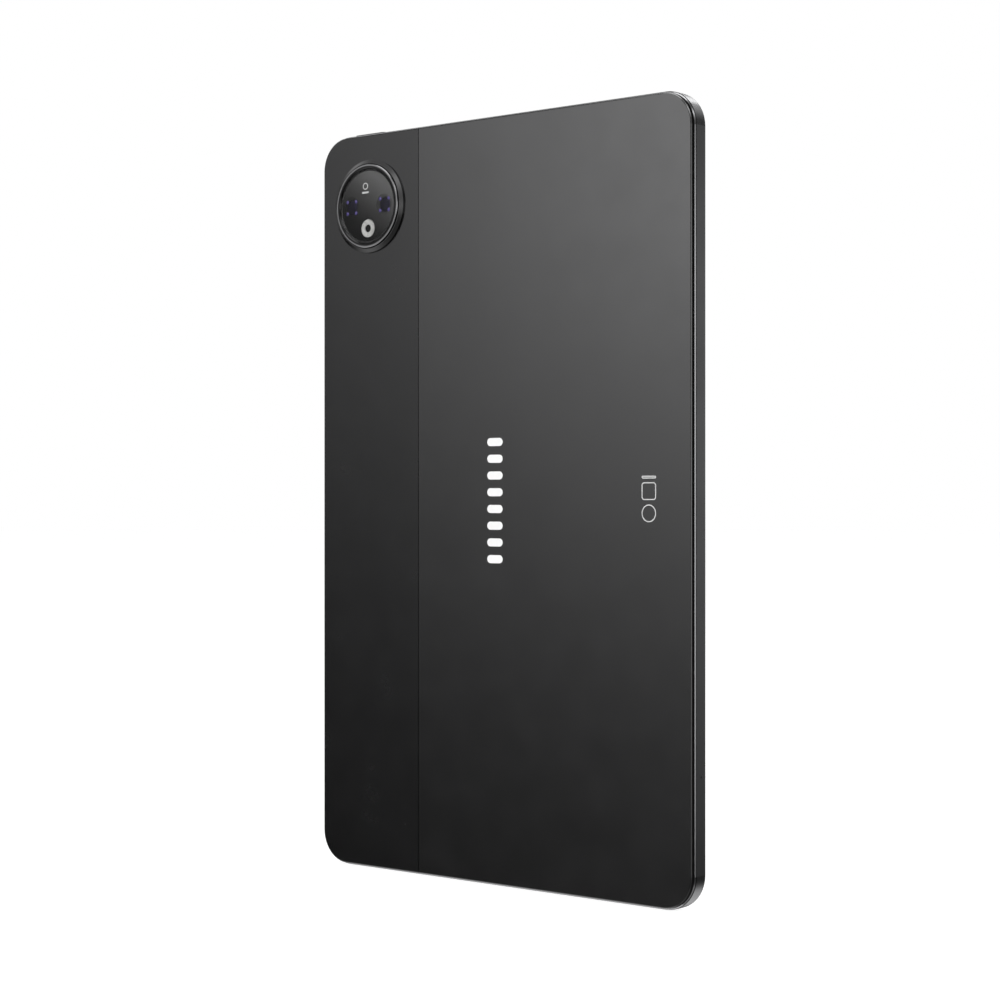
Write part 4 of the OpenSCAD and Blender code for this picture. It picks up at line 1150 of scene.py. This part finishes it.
@dataclass
class Studio:
    """Pale floor, soft surrounding light, softboxes and the camera.

    The levels give the surrounding light by height, from -1 straight down to 1 straight up, once for the side
    that the back mirrors and once for the rest of the room. The swings scale it by direction, in degrees.
    """

    floor_radius: float = 9.0
    back_azimuth: float = 45.0
    back_reach: tuple[float, float] = (30.0, 65.0)
    swing_heights: tuple[float, float] = (0.25, 0.5)
    under_heights: tuple[float, float] = (-0.45, -0.25)
    back_levels: Stops = (
        (-1.0, 1.0), (-0.6, 1.0), (-0.44, 0.4), (-0.32, 0.16), (-0.24, 0.03), (-0.19, 0.01), (-0.16, 0.018),
        (-0.1, 0.065), (-0.045, 0.17), (0.0, 0.27), (0.045, 0.42), (0.09, 0.62), (0.13, 0.82), (0.17, 0.88),
        (0.3, 0.8), (0.55, 0.7), (0.66, 0.3), (0.76, 0.08), (0.88, 0.12), (1.0, 0.8))
    room_levels: Stops = (
        (-1.0, 1.0), (-0.55, 1.1), (-0.42, 0.2), (-0.3, 0.03), (-0.18, 0.05), (-0.1, 0.2), (0.0, 0.38),
        (0.12, 0.46), (0.15, 0.26), (0.18, 0.12), (0.32, 0.1), (0.45, 0.35), (0.55, 0.8), (0.64, 1.3),
        (0.7, 0.7), (0.8, 0.12), (0.9, 0.15), (1.0, 0.8))
    back_swing: Stops = (
        (-30.0, 0.4), (20.0, 0.2), (43.0, 0.15), (50.0, 0.7), (56.0, 1.35), (64.0, 1.45), (80.0, 1.4),
        (110.0, 0.9))
    under_swing: Stops = (
        (-170.0, 1.0), (-40.0, 1.0), (0.0, 0.75), (40.0, 0.5), (70.0, 0.12), (150.0, 0.06), (170.0, 0.5))
    softboxes: tuple[Softbox, ...] = (
        Softbox("key_softbox", 146.0, 0.0, 1.6, 0.7, 1.15),
        Softbox("top_softbox", 60.0, 76.0, 0.9, 0.6, 1.2),
        Softbox("corner_softbox", -78.0, 48.0, 1.4, 0.5, 2.6),
        Softbox("fill_softbox", 80.0, 20.0, 1.6, 0.8, 24.0, fill=True),
    )
    viewpoint: Viewpoint = field(default_factory=Viewpoint)

    def build(self) -> None:
        """Sets up the whole studio."""
        low, high = cad_box
        centre = (low + high) / 2
        bpy.context.scene.view_settings.view_transform = "Standard"
        self.surround()
        self.floor()
        for softbox in self.softboxes:
            softbox.place(centre)
        self.viewpoint.place(centre)

    def surround(self) -> None:
        """Makes the soft light that surrounds the part, graded from the floor up and round it."""
        world = bpy.data.worlds.new("studio")
        world.use_nodes = True
        world.node_tree.nodes.clear()
        wires = Wiring(world.node_tree)
        direction = wires.add("ShaderNodeTexCoord").outputs["Generated"]
        height = wires.axis(direction, "Z")
        turn = wires.math("DEGREES", wires.math(
            "ARCTAN2", wires.axis(direction, "Y"), wires.axis(direction, "X")))
        room = self.graded(wires, height, 1.0, self.room_levels)
        back = self.graded(wires, height, 1.0, self.back_levels)
        swing = self.graded(wires, turn, 180.0, self.back_swing)
        level = wires.span(wires.math("ABSOLUTE", height), *self.swing_heights, 1.0, 0.0, smooth=True)
        swung = wires.blend(level, (1.0, 1.0, 1.0), swing)
        behind = wires.add("ShaderNodeVectorMath", {"operation": "MULTIPLY"}, {0: back, 1: swung})
        beside = wires.math("ABSOLUTE", wires.math("SUBTRACT", turn, self.back_azimuth))
        lit = wires.add("ShaderNodeMix", {"data_type": "RGBA"}, {
            0: wires.span(beside, *self.back_reach, 0.0, 1.0, smooth=True), 6: behind.outputs[0], 7: room})
        under = self.graded(wires, turn, 180.0, self.under_swing)
        depth = wires.span(height, *self.under_heights, 1.0, 0.0, smooth=True)
        shaded = wires.add("ShaderNodeVectorMath", {"operation": "MULTIPLY"}, {
            0: lit.outputs[2], 1: wires.blend(depth, (1.0, 1.0, 1.0), under)})
        surround = wires.add("ShaderNodeBackground", sockets={0: shaded.outputs[0]})
        backdrop = wires.add("ShaderNodeBackground", sockets={0: (1.0, 1.0, 1.0, 1.0), 1: 1.0})
        seen = wires.add("ShaderNodeLightPath").outputs["Is Camera Ray"]
        both = wires.add("ShaderNodeMixShader", sockets={
            0: seen, 1: surround.outputs[0], 2: backdrop.outputs[0]})
        wires.add("ShaderNodeOutputWorld", sockets={0: both.outputs[0]})
        bpy.context.scene.world = world

    @staticmethod
    def graded(wires: Wiring, value: Socket, reach: float, stops: Stops) -> Socket:
        """Turns a number into a grey level through a list of stops.

        Args:
            wires: The world's wiring.
            value: The number.
            reach: The size of the largest number, either side of 0.
            stops: Numbers and the level at each.

        Returns:
            The grey level's output.
        """
        share = wires.math("MULTIPLY_ADD", value, 0.5 / reach, 0.5)
        ramp = wires.add("ShaderNodeValToRGB", sockets={0: share})
        elements = ramp.color_ramp.elements
        for spot, (number, level) in enumerate(stops):
            place = 0.5 + 0.5 * number / reach
            element = elements[0] if spot == 0 else elements.new(place)
            if spot == 0:
                elements.remove(elements[1])
            element.position, element.color = place, (level, level, level, 1.0)
        return ramp.outputs[0]

    def floor(self) -> None:
        """Lays the plain pale floor."""
        made = bmesh.new()
        bmesh.ops.create_circle(made, cap_ends=True, radius=self.floor_radius, segments=96)
        mesh = bpy.data.meshes.new("floor")
        made.to_mesh(mesh)
        made.free()
        floor = linked("floor", mesh)
        floor.location.z = cad_box[0].z - 0.02 * MM
        material = bpy.data.materials.new("floor_paper")
        material.use_nodes = True
        shader = material.node_tree.nodes["Principled BSDF"]
        for name, value in (("Base Color", (0.4, 0.4, 0.4, 1.0)), ("Roughness", 0.9),
                            ("Emission Color", (1.0, 1.0, 1.0, 1.0)), ("Emission Strength", 0.8)):
            shader.inputs[name].default_value = value
        mesh.materials.append(material)
        floor.visible_glossy = floor.visible_diffuse = False
        floor.visible_transmission = floor.visible_shadow = False
        LOG.info("laid the floor")


def main() -> None:
    """Builds every sub-assembly in order, then the studio."""
    logging.basicConfig(level=logging.INFO, format="%(levelname)s | %(message)s")
    groups: tuple[SubAssembly, ...] = (
        Housing(), Display(), Electronics(), Sound(), Controls(), CardSlot(), ChargingPort(), CameraIsland(),
        BackPrint())
    for group in groups:
        group.dress()
        group.build()
    Studio().build()


if __name__ == "__main__":
    main()
